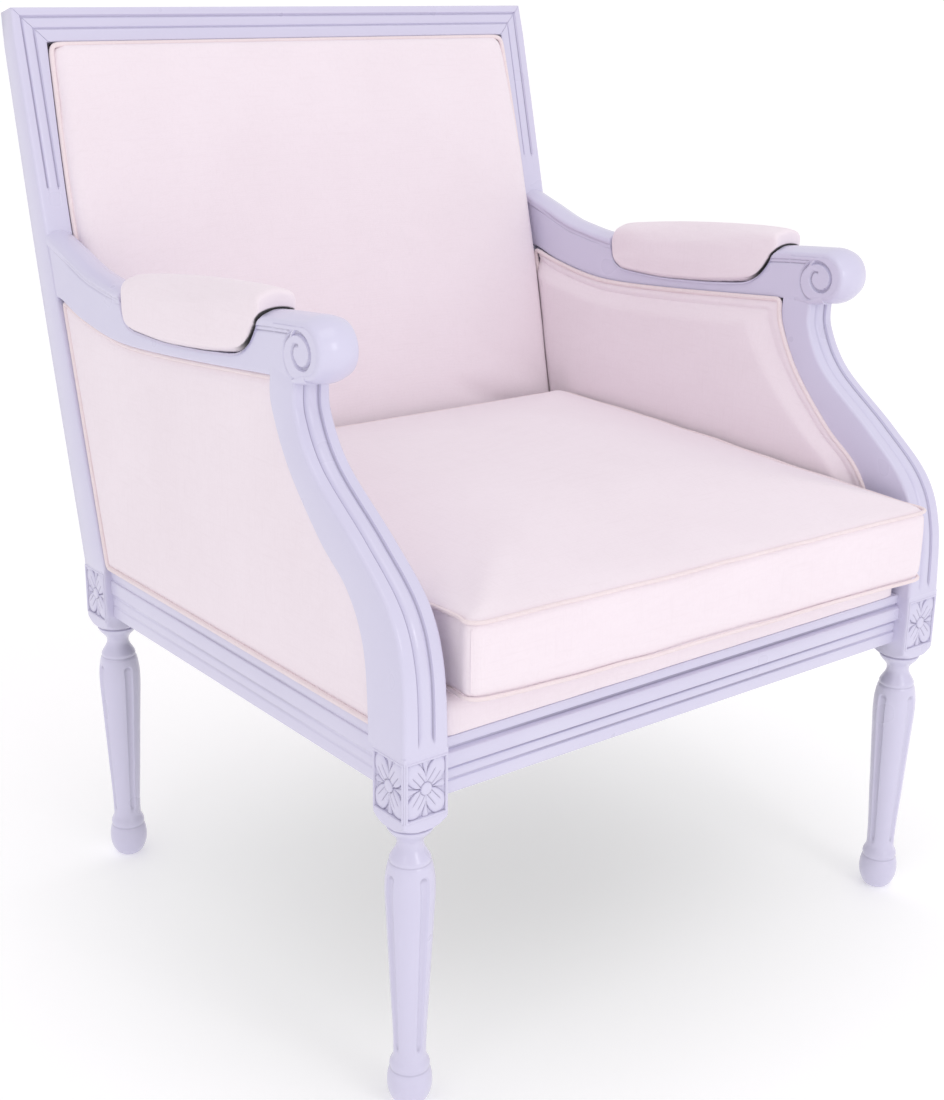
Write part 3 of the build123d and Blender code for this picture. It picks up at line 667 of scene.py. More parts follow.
def carvedHeight(u, v):
    wide, high = carvedPanel["half"]
    fromEdge = min(wide - abs(u), high - abs(v))
    rimWidth, rimTop = carvedPanel["rim"]
    field = carvedPanel["field"]
    if fromEdge < rimWidth:
        return rimTop * sqrt(clamp(1 - ((fromEdge - rimWidth / 2) / (rimWidth / 2)) ** 2)) - 0.1
    level = field - 0.5
    beside, above, rise = carvedPanel["sepal"]
    for along, across, (start, end, width) in ((abs(u), abs(v), beside), (abs(v), abs(u), above)):
        share = (along - start) / (end - start)
        reach = width * share
        if 0 < share < 1 and across < reach:
            level = max(level, field + rise * (1 - across / reach) ** 0.5)
    middle, length, width, rise = carvedPanel["petal"]
    lean = atan2(high, wide)
    for a in (lean, pi - lean, pi + lean, -lean):
        along, across = u * cos(a) + v * sin(a) - middle, abs(v * cos(a) - u * sin(a))
        share = along / length
        reach = width * (1 + 0.18 * share)
        out = abs(share) ** 2.4 + (across / reach) ** 2.4
        if out < 1:
            vein = 0.8 * ease((0.35 - share) * 3) * ease((share + 1) * 4)
            groove = max(0.0, 1 - abs(across - 0.36 * reach) / 0.9) * vein
            level = max(level, field + rise * (1 - out) ** 0.4 - 0.3 * share * share - groove)
    bossRadius, bossTop = carvedPanel["boss"]
    out = hypot(u, v) / bossRadius
    if out < 1:
        level = max(level - 0.6, field + 1.6 + bossTop * sqrt(1 - out * out))
    elif out < 1.16:
        level = min(level, field + 1.0)
    return level


def makeCarving(name):
    # the carving faces +X round the origin, and is laid on each block face later
    wide, high = carvedPanel["half"]

    def place(u, v):
        across, up = (2 * u - 1) * wide, (2 * v - 1) * high
        return at(carvedHeight(across, up), across, up)
    return drawGrid(name, 106, 136, place, 55)


def layCarving(source, name, axis, face):
    turn = Matrix.Translation(at(axis[0], axis[1], carvedPanel["centre"])) @ Matrix.Rotation(face, 4, "Z")
    out = Matrix.Translation(at(turnedLeg["half"], 0, 0))
    return copyPiece(source, name, turn @ out)


carving = makeCarving("carving")
outward, forward = 0.0, -pi / 2
frontLeg = makeLeg("frontLegRight", turnedLeg["front"], (outward, forward))
frontLeg = joinPieces("frontLegRight", [
    frontLeg, layCarving(carving, "carvedOuter", turnedLeg["front"], outward),
    layCarving(carving, "carvedFront", turnedLeg["front"], forward),
])
settlePair(frontLeg, "frontLeg", paintedWood, "front_leg")
print("front legs turned and carved")


# Back: legs and reclined stiles in one, with the crest rail mitred between them

backFrame = {
    "foot": (207.0, 348.0),        # front face of the stile, y and z
    "head": (343.64, 912.8),
    "rearFoot": (253.0, 348.0),
    "rearHead": (370.17, 906.4),
    "outer": [(0, 331.0), (0.6055, 334.0), (1, 333.3)],   # share of the height, x
    "inner": [(0, 298.0), (0.6055, 304.0), (1, 296.7)],
    "face": 36.6,
    "edgeRound": 2.6,
    "innerRound": 1.6,
    "grooves": ((11.4, 1.9, 2.6), (22.9, 1.7, 2.3)),      # place from the outer edge, half width, depth
    "beadDrop": 0.5,
    "grooveStop": 0.688,           # share of the height where the grooves end
    "cornerRound": 7.0,
}
backLean = radians(13.6)
backRise = (backFrame["head"][1] - backFrame["foot"][1]) / cos(backLean)
rearFoot, rearHead = backFrame["rearFoot"], backFrame["rearHead"]
rearRise = hypot(rearHead[0] - rearFoot[0], rearHead[1] - rearFoot[1])
footThick = (rearFoot[0] - backFrame["foot"][0]) * cos(backLean)
headThick = hypot(rearHead[0] - backFrame["head"][0], rearHead[1] - backFrame["head"][1])
stileOuter, stileInner = through(backFrame["outer"]), through(backFrame["inner"])


def backPoint(x, along, deep=0.0):
    # a point in front view of the back: x, height along the slope, depth behind the face
    y = backFrame["foot"][0] + along * sin(backLean) + deep * cos(backLean)
    z = backFrame["foot"][1] + along * cos(backLean) - deep * sin(backLean)
    return at(x, y, z)


def faceDepth(off, width, past):
    # depth of the moulded face at a distance from its outer edge; past is how far above the groove ends
    deep = 0.0
    radius = backFrame["edgeRound"]
    if off < radius:
        deep = radius - sqrt(radius ** 2 - (radius - off) ** 2)
    radius = backFrame["innerRound"]
    if width - off < radius:
        deep = radius - sqrt(max(0.0, radius ** 2 - (radius - width + off) ** 2))
    first, second = backFrame["grooves"][0][0], backFrame["grooves"][1][0]
    for place, half, cut in backFrame["grooves"]:
        reach = hypot((off - place) / half, max(0.0, -past) / half)
        if reach < 1:
            deep = max(deep, cut * (1 - reach ** 1.6))
    if first < off < second:       # the bead between the grooves is rounded and a little low
        share = (2 * off - first - second) / (second - first)
        deep = max(deep, (backFrame["beadDrop"] + 1.3 * share ** 4) * ease(past / 6 + 1))
    return deep


def faceOffsets(width):
    first, second = backFrame["grooves"][0][0], backFrame["grooves"][1][0]
    offsets = [0, 0.3, 0.9, 1.7, 2.6, 5.5] + steps(first + 3.2, second - 3.0, 1.0)
    for place, half, _ in backFrame["grooves"]:
        offsets += [place + half * s for s in (-1.25, -1, -0.7, -0.4, -0.15, 0.15, 0.4, 0.7, 1, 1.25)]
    offsets += [26.5, width - 1.7, width - 1.1, width - 0.5, width - 0.15, width]
    return sorted(offsets)


def frameRing(width, thick, past, place, sink=0.0):
    # the face from its outer to its inner edge, then round the back; place(off, deep) gives the point
    ring = [place(off, faceDepth(off, width, past) + sink) for off in faceOffsets(width)]
    ring += [place(width, thick - 2), place(width - 0.6, thick - 0.6), place(width - 2, thick)]
    ring += [place(width * s, thick) for s in (0.75, 0.5, 0.25)]
    ring += [place(2, thick), place(0.6, thick - 0.6), place(0, thick - 2)]
    return ring


def makeStile(name):
    stop = backFrame["grooveStop"] * backRise
    mitre = backRise - backFrame["face"]
    rings = []
    heights = steps(0, stop - 4, 14) + steps(stop - 3, stop + 2, 0.5) + steps(stop + 4, mitre, 9)
    for along in heights:
        share = along / backRise
        outer, width = stileOuter(share), stileOuter(share) - stileInner(share)
        thick = footThick + (headThick - footThick) * share
        rings.append(frameRing(width, thick, along - stop,
                               lambda off, deep: backPoint(outer - off, along, deep)))
    for sink, short in ((0.0, 1.0), (0.0, 0.45), (0.7, 0.05)):   # up to the mitre, with a fine V at the joint
        outer, width = stileOuter(1), backFrame["face"]
        rings.append(frameRing(width, headThick, 100,
                               lambda off, deep: backPoint(outer - off, backRise - off - short, deep), sink))
    return loftRings(name, rings, 32)


def makeCrest(name):
    half = stileOuter(1)
    rings = []
    ends = [(-1, 0.7, 0.05), (-1, 0.0, 0.45), (-1, 0.0, 1.0), (1, 0.0, 1.0), (1, 0.0, 0.45), (1, 0.7, 0.05)]
    for side, sink, short in ends:
        rings.append(frameRing(
            backFrame["face"], headThick, 100,
            lambda off, deep: backPoint(side * (half - off - short), backRise - off, deep), sink))
    return loftRings(name, rings, 32)


def roundCorners(piece):
    # the outer top corners of the back are rounded over, front, top and side alike
    radius = backFrame["cornerRound"]
    cornerX, cornerAlong = stileOuter(1) - radius, backRise - radius
    for vert in piece.data.vertices:
        x, y, z = (c / mm for c in vert.co)
        along = (y - backFrame["foot"][0]) * sin(backLean) + (z - backFrame["foot"][1]) * cos(backLean)
        dx, dz = abs(x) - cornerX, along - cornerAlong
        if dx > 0 and dz > 0:
            pull = max(dx, dz) / hypot(dx, dz)
            newX, newAlong = cornerX + dx * pull, cornerAlong + dz * pull
            vert.co = at(newX if x > 0 else -newX, y + (newAlong - along) * sin(backLean),
                         z + (newAlong - along) * cos(backLean))


rearLeg = makeLeg("backPostRight", turnedLeg["rear"], (outward,))
stile = makeStile("stileRight")
backPost = joinPieces("backPostRight", [
    rearLeg, stile, layCarving(carving, "carvedRear", turnedLeg["rear"], outward)])
roundCorners(backPost)
settlePair(backPost, "backPost", paintedWood, "back_post")
crest = makeCrest("crestRail")
roundCorners(crest)
settle(crest, paintedWood, ["crest_rail"])
bpy.data.objects.remove(carving)
print("back frame joined")


# Seat rails with their moulded faces

seatRails = {
    "profile": [               # depth from the face, height, from the foot of the face to its top
        (7.0, 294.0), (5.2, 294.4), (4.6, 295.8), (4.2, 304.6), (4.6, 306.0), (6.2, 306.8), (6.4, 308.2),
        (5.0, 308.9), (4.7, 309.8), (4.7, 315.2), (5.2, 316.4), (6.6, 317.2), (6.4, 318.8), (3.0, 320.0),
        (0.7, 321.2), (0.0, 322.6), (0.0, 332.6), (0.5, 334.2), (1.8, 335.2), (5.6, 336.0), (5.8, 337.6),
        (3.6, 339.0), (3.2, 341.0), (3.2, 346.0), (3.8, 347.5), (5.2, 348.0),
    ],
    "relief": (4.0, 0.3),      # the side rails' moulding is flattened about this depth by this share
    "thick": 24.0,
    "frontFace": -338.0,
    "frontHalf": 297.0,
    "sideFace": 326.5,
    "sideRun": (-303.5, 207.0),
    "rearMiddle": 233.0,
    "rearHalf": 285.0,
    "rearRound": 3.0,
}
railFoot, railHead = seatRails["profile"][0][1], seatRails["profile"][-1][1]


def railRing(place, share=1.0):
    thick, middle = seatRails["thick"], seatRails["relief"][0]
    ring = [place(middle + (deep - middle) * share, z) for deep, z in seatRails["profile"]]
    ring += [place(thick - 1, railHead), place(thick, railHead - 1)]
    return ring + [place(thick, railFoot + 1), place(thick - 1, railFoot)]


def makeRails():
    half, face = seatRails["frontHalf"], seatRails["frontFace"]
    rings = [railRing(lambda deep, z: at(x, face + deep, z)) for x in (-half, -half / 3, half / 3, half)]
    settle(loftRings("frontSeatRail", rings, 28), paintedWood, ["front_seat_rail"])
    outer, share = seatRails["sideFace"], seatRails["relief"][1]
    run = steps(*seatRails["sideRun"], 170)
    rings = [railRing(lambda deep, z: at(outer - deep, y, z), share) for y in run]
    rail = loftRings("sideSeatRailRight", rings, 28)
    settlePair(rail, "sideSeatRail", paintedWood, "side_seat_rail")
    size = 2 * seatRails["rearHalf"], seatRails["thick"], railHead - railFoot
    rear = drawBlock("rearSeatRail", size, (0, seatRails["rearMiddle"], (railFoot + railHead) / 2))
    applyModifier(rear, "BEVEL", width=seatRails["rearRound"] * mm, segments=4, limit_method="ANGLE")
    closeUp(rear, 30)
    settle(rear, paintedWood, ["rear_seat_rail"])


makeRails()
print("seat rails run")


# Arms: a lofted run from the stile to the roll, a turned roll, and a carved volute on both sides

armShape = {                       # a run is where a change starts, and over what length, along y
    "over": [(291.4, 697), (252.8, 683), (222, 672), (190, 665), (131, 659), (40, 664), (-90, 675),
             (-150, 681.5), (-201, 686)],                     # y, z of the top
    "under": [(274.5, 627), (245, 619), (215, 612.5), (165, 605.5), (115, 604.5), (30, 610), (-60, 618),
              (-145, 626), (-184, 626), (-201, 628)],
    "plan": ((320, 304.6, 334.0), (-250, 298.5, 337.6)),      # y, inner and outer x
    "rollFaces": (298.0, 338.0),
    "rollSides": 96,
    "rollRun": (-124.0, -64.0),                               # the arm widens to the roll
    "slantRun": (225.0, 58.0, 660.0),                         # its rear end slants like the stile; pivot's z
    "roll": (-201.0, 657.0, 29.0),                            # y, z, radius
    "crossDrop": [(0, 0), (0.2, -0.25), (0.4, -1.0), (0.56, -2.0), (0.7, -3.0), (0.82, -3.9), (0.9, -4.7),
                  (0.95, -5.6), (0.985, -6.9), (1.0, -8.4)],  # rounding across the top
    "band": 13.0,                                             # height of the upper band on the sides
    "bandStep": 1.5,
    "lowRound": (2.8, 8.4),                                   # of the lower edges along the arm, at the roll
    "lowRun": (-174.0, -26.0),
    "fullRun": (-176.0, -10.0),                               # the lower edges fill out to the roll
    "lineRun": (265.0, -30.0),                                # the fine lines on the sides fade out
    "coveRun": (100.0, 70.0),                                 # they turn into one wide cove behind the pad
    "rebate": [(-131.2, 679.4), (-128.2, 673.4), (-121, 661), (-112.3, 650), (-103.6, 643), (-95, 638.4),
               (-82.8, 634.6), (-60, 631.4), (-15, 626.4), (60, 621.8), (108, 622.4), (121, 627.6),
               (127, 635), (131, 650), (133, 659)],           # y, z of the wood under the pad
    "volute": [(-191, 628.5), (-178, 632.5), (-170.5, 641), (-168.5, 651), (-172, 661), (-181, 668.6),
               (-192.5, 671), (-203, 668), (-209.8, 660), (-209.6, 650.5), (-203, 643.2), (-194, 642.2),
               (-187, 646.4), (-183.8, 653.4), (-186.5, 659.8), (-192, 660.8)],
    "voluteHalf": 2.3,
    "voluteDeep": 3.6,
    "disc": (-190.0, 651.0, 21.0),                            # y, z and radius of the volute's disc
    "plate": (-225.0, 76.0, 624.0, 64.0),                     # y, length, z and height of the carved plates
    "plateFrom": -154.0,                                      # where the arm makes room for the plates
    "rows": (8.8, 9.4, 10.2, 11, 11.7, 12.3, 12.8, 13.3, 13.9, 14.6, 15.3, 16, 16.6, 17.2, 18, 19.5, 22),
    "columns": (1, 0.985, 0.96, 0.935, 0.9, 0.87, 0.82, 0.78, 0.74, 0.7, 0.64, 0.58, 0.5, 0.4, 0.3, 0.2, 0.1),
    "runs": ((283, 136, 6), (133.6, 118, 0.9), (114, -86, 10), (-89, -132.5, 0.9), (-134, -201, 2.5)),
}
armPad = {
    "low": [(-132, 681.4), (-129, 678.4), (-126, 674.2), (-122.5, 668.4), (-116.5, 659.6), (-110, 651.2),
            (-104, 646.2), (-96, 642.2), (-82, 638.8), (-15, 629.4), (60, 624.2), (108, 624.8), (121, 630),
            (127, 638), (130, 648)],
    "crown": [(-132, 694.4), (-130.6, 696.6), (-127, 697.8), (-100, 697), (-70, 694.5), (10, 686.5),
              (90, 678), (115, 674.5), (124, 671), (130, 662)],
    "half": [(-132, 19.8), (-130, 20.8), (-124, 21.4), (-70, 21.6), (10, 21.4), (90, 20.5), (115, 19.6),
             (124, 18.2), (130, 15)],
    "room": (1.0, 0.8),        # left for the cloth to puff up, on top and at the sides
    "puff": (2.6, 2.5, 2.5),   # size of the cloth's squares, pressure, furthest move
    "bulge": 2.5,
    "belly": 4.2,              # how far the middle hangs into the rebate
    "bellyRun": (-116.0, 10.0),
    "hang": 4.2,               # how far the sides hang down over the rounded arm at the front
    "hangRun": (-122.0, -8.0),
    "middle": 319.0,
    "edgeRound": 9.0,
    "gapShadeRun": (-84.0, -26.0),   # the front end is painted dark underneath, as painted shade in the gap over the arm
    "gapShadeRise": 0.8,         # it reaches this far above the pad's lower line
}


def heightLine(points, across=0, up=1):
    # height against run of the smooth line through a few points
    table = sorted((runAlong(points, i / 240)[across], runAlong(points, i / 240)[up]) for i in range(241))

    def value(x):
        low, high = 0, len(table) - 1
        x = clamp(x, table[0][0], table[-1][0])
        while high - low > 1:
            middle = (low + high) // 2
            if table[middle][0] > x:
                high = middle
            else:
                low = middle
        span = table[high][0] - table[low][0]
        share = (x - table[low][0]) / span if span else 0
        return table[low][1] + (table[high][1] - table[low][1]) * share
    return value


armTop, armFoot = heightLine(armShape["over"]), heightLine(armShape["under"])
crossDrop = through(armShape["crossDrop"])
padLow, rebateLine = through(armPad["low"]), through(armShape["rebate"])
voluteTrack = [runAlong(armShape["volute"], i / 150) for i in range(151)]


def lowRound(y):
    along, roll = armShape["lowRound"]
    return along + (roll - along) * ramp(y, *armShape["lowRun"])


def armSides(y):
    (rear, innerRear, outerRear), (fore, innerFore, outerFore) = armShape["plan"]
    share = (y - rear) / (fore - rear)
    inner = innerRear + (innerFore - innerRear) * share
    outer = outerRear + (outerFore - outerRear) * share
    wide = ramp(y, *armShape["rollRun"])
    rollInner, rollOuter = armShape["rollFaces"]
    return inner + (rollInner - inner) * wide, outer + (rollOuter - outer) * wide


def sideDepth(y, z):
    # how far the carved side lies below the upper band's level
    below = armTop(y) - z
    nearest, share = min((hypot(y - p[0], z - p[1]), i / 150) for i, p in enumerate(voluteTrack))
    half = armShape["voluteHalf"] * (1 - 0.3 * share)
    discY, discZ, disc = armShape["disc"]
    outside = ramp(hypot(y - discY, z - discZ), disc, 2.5) * ramp(y, discY - 4, 8)
    deep = armShape["bandStep"] * ramp(below, armShape["band"], 2.5) * outside
    fade = ramp(y, *armShape["lineRun"]) * ramp(y, discY - 3, 10)
    rear = ramp(y, *armShape["coveRun"])
    lines = ((armShape["band"] - 0.8 * rear, 1.3 + 2.2 * rear, 1.3 + 0.6 * rear),
             (armShape["band"] + 3.4, 1.1, 0.8 * (1 - rear) * outside))
    for line, width, cut in lines:
        reach = abs(below - line) / width
        if reach < 1:
            deep += cut * (1 - reach * reach) * fade
    if nearest < half:
        strong = 0.65 + 0.35 * ramp(share, 0.2, 0.25) - 0.55 * ramp(share, 0.7, 0.3)
        deep = max(deep, armShape["voluteDeep"] * strong * sqrt(1 - (nearest / half) ** 2))
    return deep


def armRing(y):
    top, foot = armTop(y), armFoot(y)
    start, run, pivot = armShape["slantRun"]
    slant = ramp(y, start, run) * tan(backLean)
    inner, outer = armSides(y)
    middle, half = (inner + outer) / 2, (outer - inner) / 2
    inRebate = armShape["rebate"][0][0] < y < armShape["rebate"][-1][0]
    roof = min(top, rebateLine(y)) if inRebate else top
    crown = 1 - 0.7 * ease((top - roof) / 6)
    tuck = 3.0 * ramp(y, armShape["plateFrom"], -4)
    fullness = ramp(y, *armShape["fullRun"])
    ring = []

    def add(x, z):
        ring.append(at(x, y + slant * (z - pivot), z))

    def side(sign, way):
        levels = [top - low for low in armShape["rows"]]
        levels += [levels[-1] + (foot + lowRound(y) + 2 - levels[-1]) * k / 5 for k in range(1, 6)]
        for i, z in enumerate(levels[::way]):
            z = min(z, roof - 1.2 * crown - 0.02 * i)
            sunk = sideDepth(y, z) if y > armShape["plateFrom"] - 2 else armShape["bandStep"]
            add(middle + sign * (half - sunk - tuck * (1 if top - z > 9.5 else 0)), z)

    def low(sign, way):
        radius = lowRound(y)
        flat = half - armShape["bandStep"] * (1 - fullness)
        for k in range(7)[::way]:
            a = k / 6 * pi / 2
            add(middle + sign * (flat - radius * (1 - cos(a))), foot + radius * (1 - sin(a)))

    shares = list(armShape["columns"])
    for share in shares + [0] + [-s for s in reversed(shares)]:
        add(middle + share * half, roof + crossDrop(abs(share)) * crown)
    side(-1, 1)
    low(-1, 1)
    low(1, -1)
    side(1, -1)
    return ring


def makeRoll(name):
    # the roll is turned on its own axis, hollow at both ends for the plates
    y, z, radius = armShape["roll"]
    inner, outer = armShape["rollFaces"]
    middle, half = (inner + outer) / 2, (outer - inner) / 2
    shares = (1, 0.993) + armShape["columns"][1:]
    line = [(0.86, radius - 12), (0.9, radius - 9.4)]
    line += [(s, radius + crossDrop(s)) for s in shares] + [(0, radius)]
    line += [(-s, r) for s, r in reversed(line[:-1])]
    turns = [2 * pi * i / armShape["rollSides"] for i in range(armShape["rollSides"])]
    rings = [[at(middle + share * half, y + r * cos(a), z + r * sin(a)) for a in turns] for share, r in line]
    return loftRings(name, rings, 40)


def makeVolute(name, sign):
    # a thin plate on one side of the roll, sunk at its rim, with the spiral cut into it
    y0, z0, radius = armShape["roll"]
    startY, long, startZ, high = armShape["plate"]

    def place(u, v):
        y, z = startY + long * u, startZ + high * v
        inner, outer = armSides(y)
        inside = min(armTop(max(y, y0)) - armShape["rows"][0] - z, z - armFoot(max(y, y0)) - lowRound(y),
                     armShape["plateFrom"] + 2.5 - y)
        if y < y0:
            inside = radius - 8.4 - hypot(y - y0, z - z0)
        sink = (1.0 - inside) ** 2 * 0.35 if inside < 1 else 0
        deep = sideDepth(y, z) + min(sink, 5) - 0.05
        return at(outer - deep if sign > 0 else inner + deep, y, z)

    def outsideArm(x, y, z):
        if y < y0:
            return hypot(y - y0, z - z0) > radius - 7.0
        return z > armTop(y) - 7.2 or z < armFoot(y) + lowRound(y) - 1.4
    piece = drawGrid(name, 100, 80, place, 45)
    deleteFaces(piece, outsideArm)
    if sign < 0:
        piece.data.flip_normals()
    return piece


def makeArm(name):
    rings = [armRing(y) for run in armShape["runs"] for y in steps(*run)]
    body = loftRings(name, rings, 40)
    plates = [makeVolute("voluteOuter", 1), makeVolute("voluteInner", -1)]
    return joinPieces(name, [body, makeRoll("armRoll")] + plates)


settlePair(makeArm("armRight"), "arm", paintedWood, "arm")
print("arms rolled and carved")


# Arm posts: an S in side view, with a bead between two grooves down the front

armPost = {
    "back": [(-145, 626), (-148, 600), (-174, 553), (-222, 502), (-265, 468), (-289, 422), (-297, 348)],
    "front": [(-184, 626), (-186, 598), (-212, 558), (-275, 511), (-325, 467), (-345, 418), (-349.5, 348)],
    "levels": (348.0, 626.0),      # z of the foot and the head
    "run": (346.0, 645.0, 2.2),    # the post reaches a little into the block and the arm
    "foot": (297.0, 343.0),        # inner and outer x at the block
    "head": (300.0, 337.4),
    "narrow": (620.0, 24.0, 2.2),  # inside the arm: from this z, over this height, by this much
    "edgeRound": 3.6,
    "backRound": 2.4,
    "bead": 6.0,                   # half width
    "groove": (7.4, 1.5, 2.5),     # place from the middle, half width, depth
    "fade": (351.0, 363.0),
    "edgeColumns": (0, 0.25, 0.8, 1.6, 2.6, 3.6, 6),
    "columns": (10.2, 9.2, 8.9, 8.5, 8.0, 7.4, 6.8, 6.3, 5.95, 5.6, 5.0, 4.2, 3.2, 2.1, 1.0),
}
postBack, postFront = heightLine(armPost["back"], 1, 0), heightLine(armPost["front"], 1, 0)


def postDepth(off, half, z):
    deep = 0.0
    radius = armPost["edgeRound"]
    fromEdge = half - abs(off)
    if fromEdge < radius:
        deep = radius - sqrt(max(0.0, radius ** 2 - (radius - fromEdge) ** 2))
    place, width, cut = armPost["groove"]
    fade = ease((z - armPost["fade"][0]) / (armPost["fade"][1] - armPost["fade"][0]))
    reach = abs(abs(off) - place) / width
    if reach < 1:
        deep = max(deep, cut * sqrt(1 - reach * reach) * fade)
    if abs(off) < armPost["bead"]:
        deep = max(deep, 1.7 * (abs(off) / armPost["bead"]) ** 3 * fade)
    return deep


def makePost(name):
    rings = []
    low, high = armPost["levels"]
    start, over, narrower = armPost["narrow"]
    for z in steps(*armPost["run"]):
        share = clamp((z - low) / (high - low))
        inner, outer = (foot + (head - foot) * share for foot, head in zip(armPost["foot"], armPost["head"]))
        middle, half = (inner + outer) / 2, (outer - inner) / 2 - narrower * ease((z - start) / over)
        front, back = postFront(z), postBack(z)
        lean = (postFront(z + 1.5) - postFront(z - 1.5)) / 3
        scale = 1 / sqrt(1 + lean * lean)
        offs = [half - edge for edge in armPost["edgeColumns"]] + list(armPost["columns"])
        ring = []
        for off in offs + [0] + [-o for o in reversed(offs)]:
            deep = postDepth(off, half, z)
            ring.append(at(middle + off, front + deep * scale, z - deep * lean * scale))
        radius = armPost["backRound"]
        for sign, turns in ((-1, range(5)), (1, range(4, -1, -1))):
            for k in turns:
                a = k * pi / 8
                aside = sign * (half - radius * (1 - cos(a)))
                ring.append(at(middle + aside, back - radius * (1 - sin(a)), z))
        rings.append(ring)
    return loftRings(name, rings, 38)


settlePair(makePost("armPostRight"), "armPost", paintedWood, "arm_post")
print("arm posts shaped")


# Upholstery tools

def puffUp(piece, voxel, pressure, cap, sewn, stiff=18):
    # even quads, then cloth blown up from inside; sewn(x, y, z) says how firmly a point is held, 0 to 1
    pick(piece)
    piece.data.remesh_voxel_size = voxel * mm
    bpy.ops.object.voxel_remesh()
    applyModifier(piece, "SMOOTH", factor=0.5, iterations=4)
    frames = 20
    before = [vert.co.copy() for vert in piece.data.vertices]
    held = piece.vertex_groups.new(name="sewn")
    for i, place in enumerate(before):
        held.add([i], clamp(sewn(*(place / mm))), "REPLACE")
    cloth = piece.modifiers.new("cloth", "CLOTH")
    cloth.settings.quality = 5
    cloth.settings.use_pressure = True
    cloth.settings.uniform_pressure_force = pressure
    cloth.settings.tension_stiffness = stiff
    cloth.settings.compression_stiffness = stiff
    cloth.settings.bending_stiffness = 1.5
    cloth.settings.vertex_group_mass = "sewn"
    cloth.settings.effector_weights.gravity = 0
    cloth.collision_settings.use_collision = False
    cloth.point_cache.frame_end = frames
    for count in range(1, frames + 1):
        scene.frame_set(count)
    bpy.ops.object.modifier_apply(modifier=cloth.name)
    for vert, place in zip(piece.data.vertices, before):
        move = vert.co - place
        if move.length > cap * mm:
            vert.co = place + move.normalized() * cap * mm
    scene.frame_set(1)
    piece.vertex_groups.clear()
    applyModifier(piece, "SMOOTH", factor=0.5, iterations=3)
    applyModifier(piece, "SUBSURF", levels=1, render_levels=1)
    pick(piece)
    bpy.ops.object.shade_smooth()
    return piece


def softenLoop(points, rounds, closed=True):
    # rounds the corners of a dense line a little
    for _ in range(rounds):
        last = len(points) - 1
        points = [
            place if not closed and i in (0, last)
            else (points[i - 1] + place * 2 + points[(i + 1) % len(points)]) / 4
            for i, place in enumerate(points)
        ]
    return points


def spread(points, gap):
    # the same line with points an even gap apart, in metres
    found = [points[0]]
    left = gap
    for start, end in zip(points, points[1:]):
        run = (end - start).length
        done = 0.0
        while run - done >= left:
            done += left
            found.append(start.lerp(end, done / run))
            left = gap
        left -= run - done
    return found


weltRadius = 2.7


# Side upholstery: flat panels outside, padded ones inside, in the opening under each arm

sidePanels = {
    "outerX": (325.0, 328.2),      # at the welt, in the middle
    "outerWeltX": 326.6,
    "innerX": (299.5, 296.6, 290.0),   # at the welt, on the border, in the field
    "innerWeltX": 298.8,
    "innerLift": 1.0,
    "rearTurn": 7.0,               # how far the inner pad turns away beside the back
    "border": 17.0,
    "insets": (3.4, 3.0, 1.8, 1.4),    # outer panel, its welt, inner pad, its welt
    "forward": 6.0,                # how far the inner pad stops before the stile
    "footOuter": 348.6,
    "footInner": 352.5,
    "thick": 4.0,
}


def offsetLine(points, distance):
    moved = []
    for i, (y, z) in enumerate(points):
        before, after = points[max(i - 1, 0)], points[min(i + 1, len(points) - 1)]
        dy, dz = after[0] - before[0], after[1] - before[1]
        length = hypot(dy, dz)
        moved.append((y + distance * dz / length, z - distance * dy / length))
    return moved


def stileY(z, forward=0.0):
    return backFrame["foot"][0] + (z - backFrame["foot"][1]) * tan(backLean) - forward / cos(backLean)


def sideOpening(inset, foot, forward=0.0, lift=0.0):
    # front, top, rear and foot lines of the opening, each by a share from 0 to 1; lift raises the top line
    low = foot + inset
    front = offsetLine([runAlong(list(reversed(armPost["back"])), i / 80) for i in range(81)], inset)
    front = [p for p in front if low < p[1] < armPost["back"][0][1] - 2 - inset]
    over = list(reversed(armShape["under"][:8]))
    over = offsetLine([runAlong(over, i / 80) for i in range(81)], inset - lift)
    corner = (armPost["back"][0][0] + inset, armPost["back"][0][1] - inset + lift)
    front = [(front[0][0], low)] + front[1:] + [corner]
    over = [corner] + [p for p in over if corner[0] + 1 < p[0] < stileY(p[1], forward + inset)]
    over.append((stileY(over[-1][1], forward + inset), over[-1][1]))
    rear = [(stileY(low, forward + inset), low), over[-1]]
    base = [front[0], rear[0]]
    return [lambda share, line=line: runAlong(line, share) for line in (front, over, rear, base)]


def armLean(y, z):
    # the inner pad follows the arm, which stands further out towards the back
    return max(0.0, armSides(y)[0] - armSides(-120)[0]) * ease((z - 470) / 120)


def openingLoop(inset, foot, forward, x, lift=0.0):
    front, over, rear, base = sideOpening(inset, foot, forward, lift)
    loop = [front(i / 160) for i in range(160)] + [over(i / 160) for i in range(160)]
    loop += [rear(1 - i / 120) for i in range(120)] + [base(1 - i / 200) for i in range(200)]
    points = spread([at(x + (armLean(*p) if lift else 0), *p) for p in loop + loop[:1]], 0.003)
    if (points[-1] - points[0]).length < 0.0015:
        points.pop()
    return softenLoop(points, 3)


